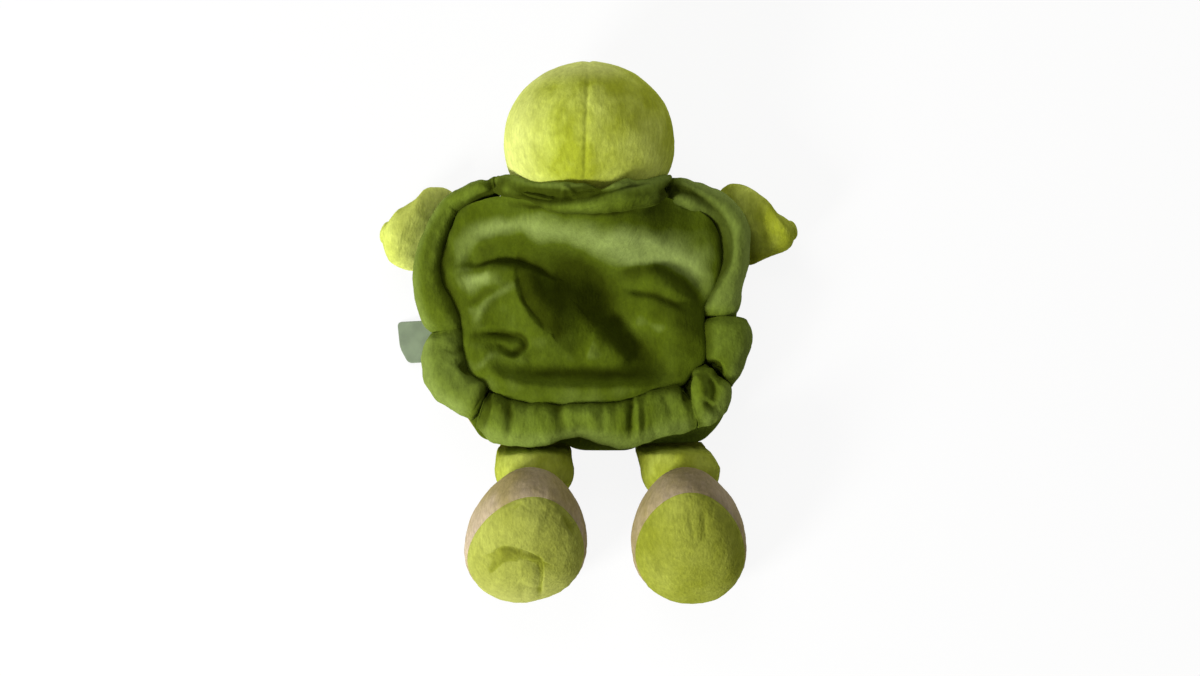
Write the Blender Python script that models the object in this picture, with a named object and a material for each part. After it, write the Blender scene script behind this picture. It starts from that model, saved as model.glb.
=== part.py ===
"""A plush turtle hand puppet that lies on its front.

The trunk is an empty pocket for a hand: a padded belly, a back panel whose lip is the lower edge of the
pocket's mouth, and over them a slack carapace panel framed by puffy rim rolls. The head turns and nods on a
collar, and the arms, legs and feet hang on pinched seams. Metres, +Z up, +Y towards the head.
"""
import math

import bmesh
import bpy
from mathutils import Matrix, Vector

# Fabric and clearances
COVER = 0.0016
SEAM_GAP = 0.0003
FILL_GAP = 0.0006
OVERRUN = 0.02

# Trunk: padded belly, back panel, and the rim rolls on top. Lengths along each belly skin are shares of the
# turn-in and of the depth, from the flat bottom to the top edge
SHELL_HALF_WIDTH = 0.092
SHELL_HALF_LENGTH = 0.0735
BELLY_DEPTH = 0.011
BELLY_FABRIC = 0.002
BELLY_TURN_IN = 0.006
BELLY_SECTION_shares = ((1.0, 0.0), (0.35, 0.14), (0.0, 0.55), (0.1, 1.0))
WADDING_TOP_share = 0.9
BACK_FABRIC = 0.002
LIP_LENGTH = 0.007
CORNER_RADIUS = 0.011
RIM_WIDTH = 0.025
RIM_HEIGHT = 0.027
CARAPACE_FABRIC = 0.0025
FOLD_HEIGHT = 0.0085
FOLD_WIDTH = 0.013
BASE_HEIGHT_share = 0.80
CREST_HEIGHT_share = 1.563
FRONT_SIDE_share = 0.95
FRONT_SPREAD_share = 0.46
SLOPE_SPAN_shares = (0.19, 0.732)
# Folds of the slack panel: height as a share of the fold height, width on the left and right of the path as
# shares of the fold width, and the path in shares of the shell's half sizes
FOLD_shares = (
    (1.00, 1.00, 1.15, (
        (-0.721, 0.297), (-0.569, 0.31), (-0.45, 0.283),
        (-0.363, 0.147), (-0.276, -0.043), (-0.2, -0.247)
    )),
    (-1.00, 0.69, 1.08, (
        (-0.417, 0.433), (-0.178, 0.406), (-0.004, 0.365), (0.094, 0.242),
        (0.126, 0.052), (0.268, -0.166), (0.485, -0.465)
    )),
    (0.88, 1.00, 1.08, ((0.289, 0.229), (0.431, 0.174), (0.507, 0.011), (0.474, -0.22))),
    (0.47, 0.46, 0.77, ((0.029, -0.07), (0.126, -0.207), (0.246, -0.383))),
    (0.82, 0.54, 0.69, (
        (-0.732, -0.302), (-0.624, -0.411), (-0.471, -0.533),
        (-0.156, -0.581), (0.333, -0.567), (0.518, -0.479)
    )),
    (-0.53, 0.46, 0.42, ((-0.787, 0.406), (-0.613, 0.419), (-0.45, 0.419), (-0.308, 0.433))),
)
CARAPACE_RING_shares = (1.0, 0.97, 0.91, 0.83, 0.73, 0.62, 0.51, 0.40, 0.29, 0.18, 0.08)

# Head, collar and neck
HEAD_RADIUS = 0.046
HEAD_FORWARD = 0.0337
COLLAR_RADIUS = 0.005
COLLAR_RISE_ANGLE = math.radians(36)
COLLAR_END_ANGLE = math.radians(8)
COLLAR_SPAN_ANGLE = math.radians(53)
NECK_RADIUS = 0.016
NECK_LENGTH = 0.0045
EYE_RADIUS = 0.005
EYE_BULGE = 0.0028
MOUTH_THREAD = 0.0007
MOUTH_HALF_WIDTH = 0.011
MOUTH_CURVE_share = 0.35
EYE_NECK_share = 0.55
EYE_DIRECTION_shares = (0.40, 0.60, -0.69)
MOUTH_DIRECTION_shares = (0.0, 0.32, -0.947)
FACET_share = 0.985
NECK_PROFILE_shares = (0.5, 0.88, 0.08, 0.3, 0.6)
NECK_OPENING_share = 0.8

# Limbs
ROOT_RADIUS = 0.003
HINGE_HEIGHT = 0.007
ARM_LENGTH = 0.032
ARM_WIDTH = 0.048
ARM_HEIGHT = 0.032
LEG_WIDTH = 0.0415
LEG_RADIUS = 0.0165
LEG_LENGTH = 0.0135
ANKLE_HEIGHT = 0.018
FOOT_WIDTH = 0.073
FOOT_LENGTH = 0.080
FOOT_DEPTH = 0.050
FOOT_TILT_ANGLE = math.radians(38)
FOOT_REACH = 0.0385
SOLE_LEVEL_share = 0.28

# Care label
LABEL_WIDTH = 0.024
LABEL_LENGTH = 0.025
LABEL_THICKNESS = 0.0007
LABEL_PLACE_share = -0.165
LABEL_CORNER_share = 0.12
LABEL_DROP_ANGLE = math.radians(15)

# Shares of the shell's half width and half length, in the order front, right side, rear, left side
TRUNK_CORNER_shares = (
    (0.827, 0.828), (0.932, 0.429), (0.859, -0.415), (0.717, -0.899),
    (-0.652, -0.899), (-0.891, -0.415), (-0.932, 0.429), (-0.827, 0.828),
)
SHOULDER_PLACE_share = 0.64
LIP_CORNER_shares = ((0.326, 0.0), (0.239, 1.0), (-0.065, 1.0), (-0.152, 0.0))

# Rim rolls: place as shares of the shell's half sizes, half width as a share of the rim's width,
# bottom and top as shares of the rim's height above the back panel
RIM_ROLL_shares = {
    "rim_upper_left": (
        (-0.527, 0.918, 0.22, 0.80, 1.44), (-0.620, 0.905, 0.25, 0.46, 1.33),
        (-0.755, 0.850, 0.25, 0.12, 1.12),
        (-0.859, 0.683, 0.24, 0.0, 0.98), (-0.935, 0.456, 0.28, 0.0, 0.98), (-0.960, 0.306, 0.30, 0.0, 0.97),
        (-0.929, 0.156, 0.41, 0.0, 0.94), (-0.891, 0.020, 0.45, 0.0, 0.91),
        (-0.864, -0.069, 0.43, 0.0, 0.87),
    ),
    "rim_lower_left": (
        (-0.843, -0.190, 0.38, 0.0, 0.87), (-0.859, -0.265, 0.44, 0.0, 0.91),
        (-0.846, -0.388, 0.49, 0.0, 0.95),
        (-0.799, -0.517, 0.50, 0.0, 0.98), (-0.728, -0.626, 0.47, 0.0, 1.0),
        (-0.658, -0.700, 0.42, 0.0, 1.0),
    ),
    "hem_roll": (
        (-0.571, -0.762, 0.48, 0.0, 1.0), (-0.478, -0.803, 0.53, 0.06, 1.03),
        (-0.304, -0.837, 0.49, 0.26, 1.05),
        (-0.109, -0.814, 0.39, 0.28, 1.05), (0.0, -0.810, 0.39, 0.28, 1.05),
        (0.152, -0.827, 0.48, 0.26, 1.05),
        (0.326, -0.799, 0.50, 0.26, 1.03), (0.478, -0.755, 0.48, 0.09, 1.01),
        (0.571, -0.725, 0.44, 0.0, 0.98),
    ),
    "rim_corner_right": (
        (0.676, -0.682, 0.46, 0.0, 0.98), (0.723, -0.612, 0.48, 0.0, 1.0), (0.755, -0.503, 0.42, 0.0, 0.97),
    ),
    "rim_lower_right": (
        (0.775, -0.396, 0.40, 0.0, 0.98), (0.804, -0.293, 0.46, 0.0, 1.0), (0.826, -0.170, 0.51, 0.0, 0.98),
        (0.829, -0.102, 0.49, 0.0, 0.95),
    ),
    "rim_upper_right": (
        (0.793, 0.020, 0.40, 0.0, 0.91), (0.837, 0.184, 0.38, 0.0, 0.95), (0.873, 0.354, 0.36, 0.0, 0.98),
        (0.870, 0.517, 0.36, 0.0, 0.98), (0.826, 0.680, 0.34, 0.0, 1.0), (0.739, 0.803, 0.32, 0.12, 1.12),
        (0.625, 0.878, 0.31, 0.42, 1.33), (0.538, 0.912, 0.24, 0.78, 1.44),
    ),
}
ROLL_END_shares = ((0.80, 0.20), (0.45, 0.32), (0.0, 0.36))

# Arms: distance out as a share of the length, the two edges along the hinge as shares of the width,
# bottom and top as shares of the height
ARM_LEFT_shares = (
    (-0.075, -0.385, 0.427, 0.163, 0.275), (0.000, -0.427, 0.469, 0.125, 0.312),
    (0.100, -0.479, 0.513, 0.094, 0.438), (0.250, -0.540, 0.517, 0.050, 0.688),
    (0.409, -0.560, 0.487, 0.019, 0.869), (0.531, -0.560, 0.429, 0.016, 0.950),
    (0.619, -0.550, 0.279, 0.016, 0.981), (0.741, -0.521, 0.171, 0.019, 0.969),
    (0.859, -0.429, 0.079, 0.059, 0.900), (0.950, -0.340, -0.079, 0.150, 0.759),
)
ARM_RIGHT_shares = (
    (-0.075, -0.365, 0.469, 0.163, 0.275), (0.000, -0.385, 0.510, 0.125, 0.312),
    (0.109, -0.408, 0.554, 0.094, 0.438), (0.250, -0.408, 0.562, 0.050, 0.688),
    (0.441, -0.400, 0.487, 0.019, 0.887), (0.581, -0.400, 0.354, 0.016, 0.959),
    (0.691, -0.400, 0.240, 0.016, 0.981), (0.769, -0.390, 0.079, 0.019, 0.959),
    (0.859, -0.360, 0.000, 0.059, 0.900), (0.941, -0.300, -0.071, 0.150, 0.759),
)
ARM_TIP_shares = (1.0, -0.19, 0.45)

# Legs: hinge middle as a share of the shell's half width, and how far the ankle lies outward of it
LEG_PLACE_shares = {"left": (-0.326, 0.0), "right": (0.516, 0.055)}
# Distance out as a share of the leg's length, half width as a share of the width,
# and bottom and top as shares of the leg's radius about the ankle's height
LEG_shares = (
    (-0.18, 0.448, -0.776, -0.558), (0.0, 0.472, -0.85, -0.485), (0.13, 0.487, -0.90, -0.09),
    (0.28, 0.496, -0.95, 0.40), (0.43, 0.499, -0.94, 0.74),
)
LEG_BALL_ANGLES = tuple(math.radians(angle) for angle in (20, 0, -20, -40, -58, -74))

# Feet: sideways place as a share of the shell's half width, and how much narrower the heel is
FOOT_PLACE_shares = {"left": -0.370, "right": 0.597}
FOOT_WIDTH_shares = {"left": 1.03, "right": 0.97}
HEEL_TAPER_share = 0.26
HEEL_SEAM_share = 0.16
HEEL_LEAN_shares = {"left": 0.08, "right": -0.08}

RING_SIDES = 14
FOOT_SIDES = 20
NECK_SIDES = 20
EYE_SIDES = 12
MOUTH_STEPS = 8
FOOT_LEVEL_shares = {
    "upper": (0.05, -0.25, -0.55, -0.78, -0.93),
    "sole": (0.50, 0.70, 0.85, 0.96),
    "filling": (-0.93, -0.75, -0.5, -0.2, 0.1, 0.4, 0.65, 0.85, 0.96),
}
COLOURS = {
    "lime": (0.42, 0.52, 0.09),
    "sole_lime": (0.34, 0.45, 0.06),
    "dark_green": (0.10, 0.17, 0.02),
    "beige": (0.56, 0.46, 0.29),
    "filling": (0.86, 0.85, 0.80),
    "label": (0.40, 0.50, 0.36),
    "black": (0.01, 0.01, 0.01),
}


def clear_scene():
    for item in list(bpy.data.objects):
        bpy.data.objects.remove(item, do_unlink=True)


def material(name, roughness):
    found = bpy.data.materials.get(name)
    if found:
        return found
    made = bpy.data.materials.new(name)
    made.use_nodes = True
    shader = made.node_tree.nodes["Principled BSDF"]
    shader.inputs["Base Color"].default_value = (*COLOURS[name], 1.0)
    shader.inputs["Roughness"].default_value = roughness
    shader.inputs["Metallic"].default_value = 0.0
    return made


def empty(name, place, parent=None):
    holder = bpy.data.objects.new(name, None)
    bpy.context.collection.objects.link(holder)
    holder.location = place
    holder.parent = parent
    return holder


def mesh_object(name, bm, parent, colour, roughness=0.95):
    bmesh.ops.recalc_face_normals(bm, faces=bm.faces)
    mesh = bpy.data.meshes.new(name)
    bm.to_mesh(mesh)
    bm.free()
    mesh.shade_smooth()
    made = bpy.data.objects.new(name, mesh)
    bpy.context.collection.objects.link(made)
    made.data.materials.append(material(colour, roughness))
    made.parent = parent
    return made


def add_ring(bm, points):
    return [bm.verts.new(point) for point in points]


def join_rings(bm, first, second):
    count = len(first)
    for i in range(count):
        j = (i + 1) % count
        bm.faces.new((first[i], first[j], second[j], second[i]))


def join_pole(bm, ring, point):
    pole = bm.verts.new(point)
    count = len(ring)
    for i in range(count):
        bm.faces.new((ring[i], ring[(i + 1) % count], pole))


def loft(rings, start_pole=None, end_pole=None, close_start=False):
    """A skin over rings of points, with a pole or a flat face where an end is closed."""
    bm = bmesh.new()
    made = [add_ring(bm, ring) for ring in rings]
    for first, second in zip(made, made[1:]):
        join_rings(bm, first, second)
    if start_pole is not None:
        join_pole(bm, made[0], start_pole)
    if close_start:
        bm.faces.new(made[0])
    if end_pole is not None:
        join_pole(bm, made[-1], end_pole)
    bmesh.ops.recalc_face_normals(bm, faces=bm.faces)
    return bm


def inset_skin(rings, pole, depth):
    """The same rings and pole moved inwards along the skin's normals."""
    bm = loft(rings, None, pole)
    bm.normal_update()
    bm.verts.ensure_lookup_table()
    moved = [vert.co - vert.normal * depth for vert in bm.verts]
    bm.free()
    sides = len(rings[0])
    return [moved[i * sides:(i + 1) * sides] for i in range(len(rings))], moved[-1]


def walled(outer, outer_pole, inner, inner_pole):
    """A cover: an outer and an inner skin, each closed by a pole and joined at their open first rings."""
    bm = bmesh.new()
    first_rings = []
    for rings, pole in ((outer, outer_pole), (inner, inner_pole)):
        made = [add_ring(bm, ring) for ring in rings]
        for first, second in zip(made, made[1:]):
            join_rings(bm, first, second)
        join_pole(bm, made[-1], pole)
        first_rings.append(made[0])
    join_rings(bm, first_rings[0], first_rings[1])
    return bm


def oval(centre, across, up, half_across, half_up, sides):
    points = []
    for i in range(sides):
        angle = 2 * math.pi * i / sides
        points.append(centre + across * (half_across * math.cos(angle)) + up * (half_up * math.sin(angle)))
    return points


def cut(item, cutter):
    step = item.modifiers.new("cut_" + cutter.name, "BOOLEAN")
    step.operation = "DIFFERENCE"
    step.solver = "EXACT"
    step.object = cutter


def guide(item):
    item.hide_render = True
    item.display_type = "WIRE"
    return item


def place_share(share):
    return Vector((share[0] * SHELL_HALF_WIDTH, share[1] * SHELL_HALF_LENGTH, 0.0))


def rounded(corners, radius, steps):
    """A closed outline with an arc of the given radius at each corner."""
    outline = []
    count = len(corners)
    for i in range(count):
        before, corner, after = corners[i - 1], corners[i], corners[(i + 1) % count]
        back = (before - corner).normalized()
        ahead = (after - corner).normalized()
        half = back.angle(ahead) / 2
        reach = min(radius / math.tan(half), (before - corner).length / 2, (after - corner).length / 2)
        centre = corner + (back + ahead).normalized() * (reach / math.cos(half))
        start = corner + back * reach - centre
        turn = math.pi - 2 * half
        sign = -1.0 if back.cross(ahead).z > 0 else 1.0
        for step in range(steps + 1):
            outline.append(centre + Matrix.Rotation(sign * turn * step / steps, 3, "Z") @ start)
    return outline


def shrunk(outline, depth, height):
    """The outline moved inwards by a depth, at a height."""
    count = len(outline)
    points = []
    for i in range(count):
        along = (outline[(i + 1) % count] - outline[i - 1]).normalized()
        inward = Vector((along.y, -along.x, 0.0))
        points.append(outline[i] + inward * depth + Vector((0.0, 0.0, height)))
    return points


def trunk_outline():
    corners = [place_share(share) for share in TRUNK_CORNER_shares]
    return rounded(corners, CORNER_RADIUS, 4)


def back_outline():
    corners = [place_share(share) for share in TRUNK_CORNER_shares]
    rear = corners[3].y
    lip = []
    for across, reach in LIP_CORNER_shares:
        lip.append(Vector((across * SHELL_HALF_WIDTH, rear - reach * LIP_LENGTH, 0.0)))
    return rounded(corners[:4] + lip + corners[4:], CORNER_RADIUS / 2, 3)


def slab(rings):
    """A closed body over stacked outlines, flat at both ends."""
    bm = bmesh.new()
    made = [add_ring(bm, ring) for ring in rings]
    for lower, upper in zip(made, made[1:]):
        join_rings(bm, lower, upper)
    bm.faces.new(made[0])
    bm.faces.new(made[-1])
    return bm


def belly_skin(outline, depth):
    """The stacked outlines of the padded belly, moved inwards and up from the floor by a depth."""
    rings = []
    for inset, height in BELLY_SECTION_shares:
        level = height * BELLY_DEPTH
        if height < BELLY_SECTION_shares[2][1]:
            level += depth
        rings.append(shrunk(outline, inset * BELLY_TURN_IN + depth, level))
    return rings


def make_belly(parent):
    outline = trunk_outline()
    inner = list(reversed(belly_skin(outline, BELLY_FABRIC)))
    mesh_object("belly_panel", slab(belly_skin(outline, 0.0) + inner), parent, "beige")
    reach = BELLY_FABRIC + FILL_GAP
    wadding = belly_skin(outline, reach)[:-1]
    edge = BELLY_SECTION_shares[-1][0] * BELLY_TURN_IN + reach
    wadding.append(shrunk(outline, edge, BELLY_DEPTH * WADDING_TOP_share))
    wadding.append(shrunk(outline, BELLY_TURN_IN + reach, BELLY_DEPTH))
    mesh_object("belly_wadding", slab(wadding), parent, "filling")


def make_back_panel(parent):
    outline = back_outline()
    low = BELLY_DEPTH + SEAM_GAP
    rings = [shrunk(outline, 0.0, low), shrunk(outline, 0.0, low + BACK_FABRIC)]
    mesh_object("back_panel", slab(rings), parent, "dark_green")


def rim_floor():
    return BELLY_DEPTH + BACK_FABRIC + 2 * SEAM_GAP


def roll_stations(shares):
    """Centre, half width and half height of each section of a rim roll."""
    stations = []
    for across, along, half, low, high in shares:
        bottom = rim_floor() + low * RIM_HEIGHT
        top = rim_floor() + high * RIM_HEIGHT
        centre = place_share((across, along)) + Vector((0.0, 0.0, (bottom + top) / 2))
        stations.append((centre, half * RIM_WIDTH, (top - bottom) / 2))
    return stations


def sections(stations, up=Vector((0.0, 0.0, 1.0))):
    """The level direction across the path at each station."""
    directions = []
    last = len(stations) - 1
    for i in range(len(stations)):
        along = stations[min(i + 1, last)][0] - stations[max(i - 1, 0)][0]
        directions.append(along.cross(up).normalized())
    return directions


def roll_mesh(stations, sides):
    """A padded roll through the stations, with blunt, rounded ends."""
    directions = sections(stations)
    up = Vector((0.0, 0.0, 1.0))
    rings = []
    poles = []
    for end in (0, -1):
        centre, half, tall = stations[end]
        nearer = stations[1][0] if end == 0 else stations[-2][0]
        along = (centre - nearer).normalized()
        tips = []
        for size, reach in ROLL_END_shares[:-1]:
            tip = centre + along * reach * half
            tips.append(oval(tip, directions[end], up, half * size, tall * size, sides))
        poles.append(centre + along * ROLL_END_shares[-1][1] * half)
        rings.append(tips)
    middle = [oval(c, d, up, a, b, sides) for (c, a, b), d in zip(stations, directions)]
    return loft(list(reversed(rings[0])) + middle + rings[1], poles[0], poles[1])


def head_centre():
    front = place_share(TRUNK_CORNER_shares[0]).y
    return Vector((0.0, front + HEAD_FORWARD + SEAM_GAP, HEAD_RADIUS))


def collar_stations():
    """The collar follows the head's ball, high at the nape and low at its two ends."""
    reach = HEAD_RADIUS + SEAM_GAP * 2 + COLLAR_RADIUS
    stations = []
    count = 11
    for i in range(count):
        share = 2 * i / (count - 1) - 1
        turn = share * COLLAR_SPAN_ANGLE
        rise = COLLAR_END_ANGLE + (COLLAR_RISE_ANGLE - COLLAR_END_ANGLE) * math.cos(share * math.pi / 2)
        offset = Vector((math.sin(turn) * math.cos(rise), -math.cos(turn) * math.cos(rise), math.sin(rise)))
        stations.append((head_centre() + offset * reach, COLLAR_RADIUS, COLLAR_RADIUS))
    return stations


def seam_points():
    """The carapace panel's edge, just inside every roll, from the collar's left end round to its right."""
    points = []
    rolls = [roll_stations(RIM_ROLL_shares[name]) for name in RIM_ROLL_shares]
    for stations in rolls:
        for (centre, half, tall), across in zip(stations, sections(stations)):
            inward = across if across.dot(-centre) > 0 else -across
            points.append(centre + inward * (half + SEAM_GAP))
    collar = list(reversed(collar_stations()))
    for (centre, half, tall), across in zip(collar, sections(collar)):
        inward = across if across.dot(-centre) > 0 else -across
        points.append(centre + inward * (half + SEAM_GAP))
    return points


def smooth_step(low, high, value):
    share = min(max((value - low) / (high - low), 0.0), 1.0)
    return share * share * (3 - 2 * share)


def fold_lift(x, y, widths, path):
    """A bell across a path, with its own width on each side, from 0 far away to 1 on the path."""
    nearest = math.inf
    for start, end in zip(path, path[1:]):
        way = end - start
        offset = Vector((x, y, 0.0)) - start
        along = min(max(offset.dot(way) / way.length_squared, 0.0), 1.0)
        away = offset - way * along
        if away.length < nearest:
            nearest = away.length
            width = widths[0] if way.cross(offset).z > 0 else widths[1]
    return math.exp(-(nearest / width) ** 2)


def carapace_height(x, y):
    """The slack panel: a slope that falls from the collar to a pool of folds."""
    base = rim_floor() + BASE_HEIGHT_share * RIM_HEIGHT
    side = rim_floor() + FRONT_SIDE_share * RIM_HEIGHT
    crest = HEAD_RADIUS * CREST_HEIGHT_share
    u = abs(x) / (SHELL_HALF_WIDTH * FRONT_SPREAD_share)
    front = side + (crest - side) * math.exp(-u ** 2.6)
    height = base + (front - base) * smooth_step(*SLOPE_SPAN_shares, y / SHELL_HALF_LENGTH)
    for share, left, right, places in FOLD_shares:
        path = [place_share(place) for place in places]
        height += FOLD_HEIGHT * share * fold_lift(x, y, (left * FOLD_WIDTH, right * FOLD_WIDTH), path)
    return height


def make_carapace(parent):
    seam = seam_points()
    middle = Vector((0.0, 0.0, 0.0))
    for point in seam:
        middle += point / len(seam)
    rings = []
    for share in CARAPACE_RING_shares:
        ring = []
        for point in seam:
            flat = middle + (point - middle) * share
            drawn = (1.0 - share ** 12) ** 0.5
            height = point.z + (carapace_height(flat.x, flat.y) - point.z) * drawn
            ring.append(Vector((flat.x, flat.y, height)))
        rings.append(ring)
    top = Vector((middle.x, middle.y, carapace_height(middle.x, middle.y)))
    down = Vector((0.0, 0.0, -CARAPACE_FABRIC))
    under = [[point + down for point in ring] for ring in rings]
    mesh_object("carapace_panel", walled(rings, top, under, top + down), parent, "dark_green")


def make_rim(parent):
    for name, shares in RIM_ROLL_shares.items():
        mesh_object(name, roll_mesh(roll_stations(shares), RING_SIDES - 2), parent, "dark_green")
    mesh_object("collar_roll", roll_mesh(collar_stations(), RING_SIDES - 4), parent, "dark_green")


def ball_rings(radius, angles, sides, axis_turn):
    """Rings of a ball about its own X axis, each at an angle from the pole, turned into place."""
    rings = []
    for angle in angles:
        ring = []
        for i in range(sides):
            around = 2 * math.pi * i / sides
            level = math.sin(angle)
            point = Vector((math.cos(angle), level * math.cos(around), level * math.sin(around)))
            ring.append(axis_turn @ (point * radius))
        rings.append(ring)
    return rings


def neck_cutter(parent, radius):
    bm = bmesh.new()
    turned = Matrix.Translation((0.0, -HEAD_RADIUS, 0.0)) @ Matrix.Rotation(math.pi / 2, 4, "X")
    bmesh.ops.create_cone(bm, cap_ends=True, segments=RING_SIDES, radius1=radius, radius2=radius,
                          depth=OVERRUN, matrix=turned)
    return guide(mesh_object("neck_opening_guide", bm, parent, "filling"))


def make_head(parent):
    stacks = 8
    sides = 26
    opening = neck_cutter(parent, NECK_RADIUS * NECK_OPENING_share)
    for side, sign in (("left", -1.0), ("right", 1.0)):
        angles = [math.pi / 2 * (1 - i / stacks) for i in range(stacks)]
        turn = Matrix.Scale(sign, 3, Vector((1.0, 0.0, 0.0)))
        skins = []
        for radius in (HEAD_RADIUS, HEAD_RADIUS - COVER):
            rings = ball_rings(radius, angles, sides, turn)
            for point in rings[0]:
                point.x = sign * SEAM_GAP / 2
            skins += [rings, Vector((sign * radius, 0.0, 0.0))]
        cover = mesh_object("head_cover_" + side, walled(*skins), parent, "lime")
        cut(cover, opening)
    radius = (HEAD_RADIUS - COVER) * FACET_share - FILL_GAP
    angles = [math.pi * i / 12 for i in range(1, 12)]
    filling = ball_rings(radius, angles, sides - 4, Matrix.Identity(3))
    poles = Vector((radius, 0.0, 0.0)), Vector((-radius, 0.0, 0.0))
    mesh_object("head_filling", loft(filling, poles[0], poles[1]), parent, "filling")


def make_neck(parent):
    """A short stuffed stub, hollowed in front to take the head's ball."""
    seat = HEAD_RADIUS + SEAM_GAP
    back = -seat - NECK_LENGTH
    edge = -math.sqrt(seat ** 2 - NECK_RADIUS ** 2)
    end, shoulder_share, step, side, dish = NECK_PROFILE_shares
    hollow = NECK_RADIUS * dish
    profile = [
        (NECK_RADIUS * end, back), (NECK_RADIUS * shoulder_share, back + NECK_RADIUS * step),
        (NECK_RADIUS, edge - NECK_RADIUS * side), (NECK_RADIUS, edge),
        (hollow, -math.sqrt(seat ** 2 - hollow ** 2)),
    ]
    across = Vector((1.0, 0.0, 0.0))
    up = Vector((0.0, 0.0, 1.0))
    rings = []
    for radius, along in profile:
        rings.append(oval(Vector((0.0, along, 0.0)), across, up, radius, radius, NECK_SIDES))
    mesh_object("neck", loft(rings, Vector((0.0, back, 0.0)), Vector((0.0, -seat, 0.0))), parent, "lime")


def make_eye(side, sign, parent):
    toward = Vector(EYE_DIRECTION_shares).normalized()
    toward.x *= sign
    across = toward.orthogonal().normalized()
    up = toward.cross(across)
    seat = HEAD_RADIUS + SEAM_GAP
    neck = EYE_RADIUS * EYE_NECK_share
    base = toward * math.sqrt(seat ** 2 - EYE_RADIUS ** 2)
    rings = [oval(toward * math.sqrt(seat ** 2 - neck ** 2), across, up, neck, neck, EYE_SIDES)]
    for angle in (0, math.radians(30), math.radians(60)):
        size = EYE_RADIUS * math.cos(angle)
        rings.append(oval(base + toward * EYE_BULGE * math.sin(angle), across, up, size, size, EYE_SIDES))
    dome = loft(rings, toward * seat, base + toward * EYE_BULGE)
    mesh_object("eye_" + side, dome, parent, "black", 0.15)


def make_mouth(parent):
    """A line of thread sewn along the ball in a shallow smile."""
    toward = Vector(MOUTH_DIRECTION_shares).normalized()
    above = Vector((0.0, 1.0, 0.0))
    above = (above - toward * above.dot(toward)).normalized()
    reach = HEAD_RADIUS + SEAM_GAP + MOUTH_THREAD
    path = []
    for i in range(MOUTH_STEPS + 1):
        share = 2 * i / MOUTH_STEPS - 1
        across = Vector((share * MOUTH_HALF_WIDTH, 0.0, 0.0))
        rise = above * MOUTH_HALF_WIDTH * MOUTH_CURVE_share * share ** 2
        point = (toward * reach + across + rise).normalized() * reach
        path.append((point, MOUTH_THREAD, MOUTH_THREAD))
    mesh_object("mouth_stitch", roll_mesh(path, MOUTH_STEPS), parent, "black", 0.6)


def shoulder(sign):
    """The hinge's middle, its outward direction and its own direction, from the trunk's shoulder edge."""
    front = place_share(TRUNK_CORNER_shares[0])
    rear = place_share(TRUNK_CORNER_shares[1])
    front.x *= sign
    rear.x *= sign
    along = (front - rear).normalized()
    outward = Vector((sign * along.y, -sign * along.x, 0.0))
    middle = rear + (front - rear) * SHOULDER_PLACE_share + outward * (ROOT_RADIUS + SEAM_GAP)
    return middle + Vector((0.0, 0.0, HINGE_HEIGHT)), outward, along


def stuffed_limb(name, rings, pole, unfilled, parent, colour):
    """A cover that is open at its root, and the filling inside it, which leaves the pinched root empty."""
    inner, inner_pole = inset_skin(rings, pole, COVER)
    mesh_object(name + "_cover", walled(rings, pole, inner, inner_pole), parent, colour)
    core, core_pole = inset_skin(rings, pole, COVER + FILL_GAP)
    mesh_object(name + "_filling", loft(core[unfilled:], None, core_pole, True), parent, "filling")


def make_arm(side, sign, shares, parent):
    middle, outward, along = shoulder(sign)
    hinge = empty("arm_" + side + "_hinge", middle, parent)
    up = Vector((0.0, 0.0, 1.0))
    rings = []
    for out, low_edge, high_edge, bottom, top in shares:
        low, high = low_edge * ARM_WIDTH, high_edge * ARM_WIDTH
        base, crest = bottom * ARM_HEIGHT - HINGE_HEIGHT, top * ARM_HEIGHT - HINGE_HEIGHT
        centre = outward * out * ARM_LENGTH + along * (low + high) / 2 + up * (base + crest) / 2
        rings.append(oval(centre, along, up, (high - low) / 2, (crest - base) / 2, RING_SIDES))
    out, edge, height = ARM_TIP_shares
    pole = outward * out * ARM_LENGTH + along * edge * ARM_WIDTH + up * (height * ARM_HEIGHT - HINGE_HEIGHT)
    stuffed_limb("arm_" + side, rings, pole, 3, hinge, "lime")


def leg_hinge_place(side):
    rear = place_share(TRUNK_CORNER_shares[3]).y
    across = LEG_PLACE_shares[side][0] * SHELL_HALF_WIDTH
    return Vector((across, rear - ROOT_RADIUS - SEAM_GAP, HINGE_HEIGHT))


def ankle_offset(side):
    return Vector((LEG_PLACE_shares[side][1] * SHELL_HALF_WIDTH, -LEG_LENGTH, ANKLE_HEIGHT - HINGE_HEIGHT))


def make_leg(side, parent):
    hinge = empty("leg_" + side + "_hinge", leg_hinge_place(side), parent)
    across = Vector((1.0, 0.0, 0.0))
    up = Vector((0.0, 0.0, 1.0))
    ankle = ankle_offset(side)
    rings = []
    for out, half, bottom, top in LEG_shares:
        centre = Vector((ankle.x * out, ankle.y * out, ankle.z + LEG_RADIUS * (bottom + top) / 2))
        rings.append(oval(centre, across, up, half * LEG_WIDTH, LEG_RADIUS * (top - bottom) / 2, RING_SIDES))
    for angle in LEG_BALL_ANGLES:
        centre = ankle + Vector((0.0, LEG_RADIUS * math.sin(angle), 0.0))
        size = math.cos(angle)
        rings.append(oval(centre, across, up, LEG_WIDTH / 2 * size, LEG_RADIUS * size, RING_SIDES))
    pole = ankle - Vector((0.0, LEG_RADIUS, 0.0))
    stuffed_limb("leg_" + side, rings, pole, 4, hinge, "lime")
    return hinge


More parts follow.
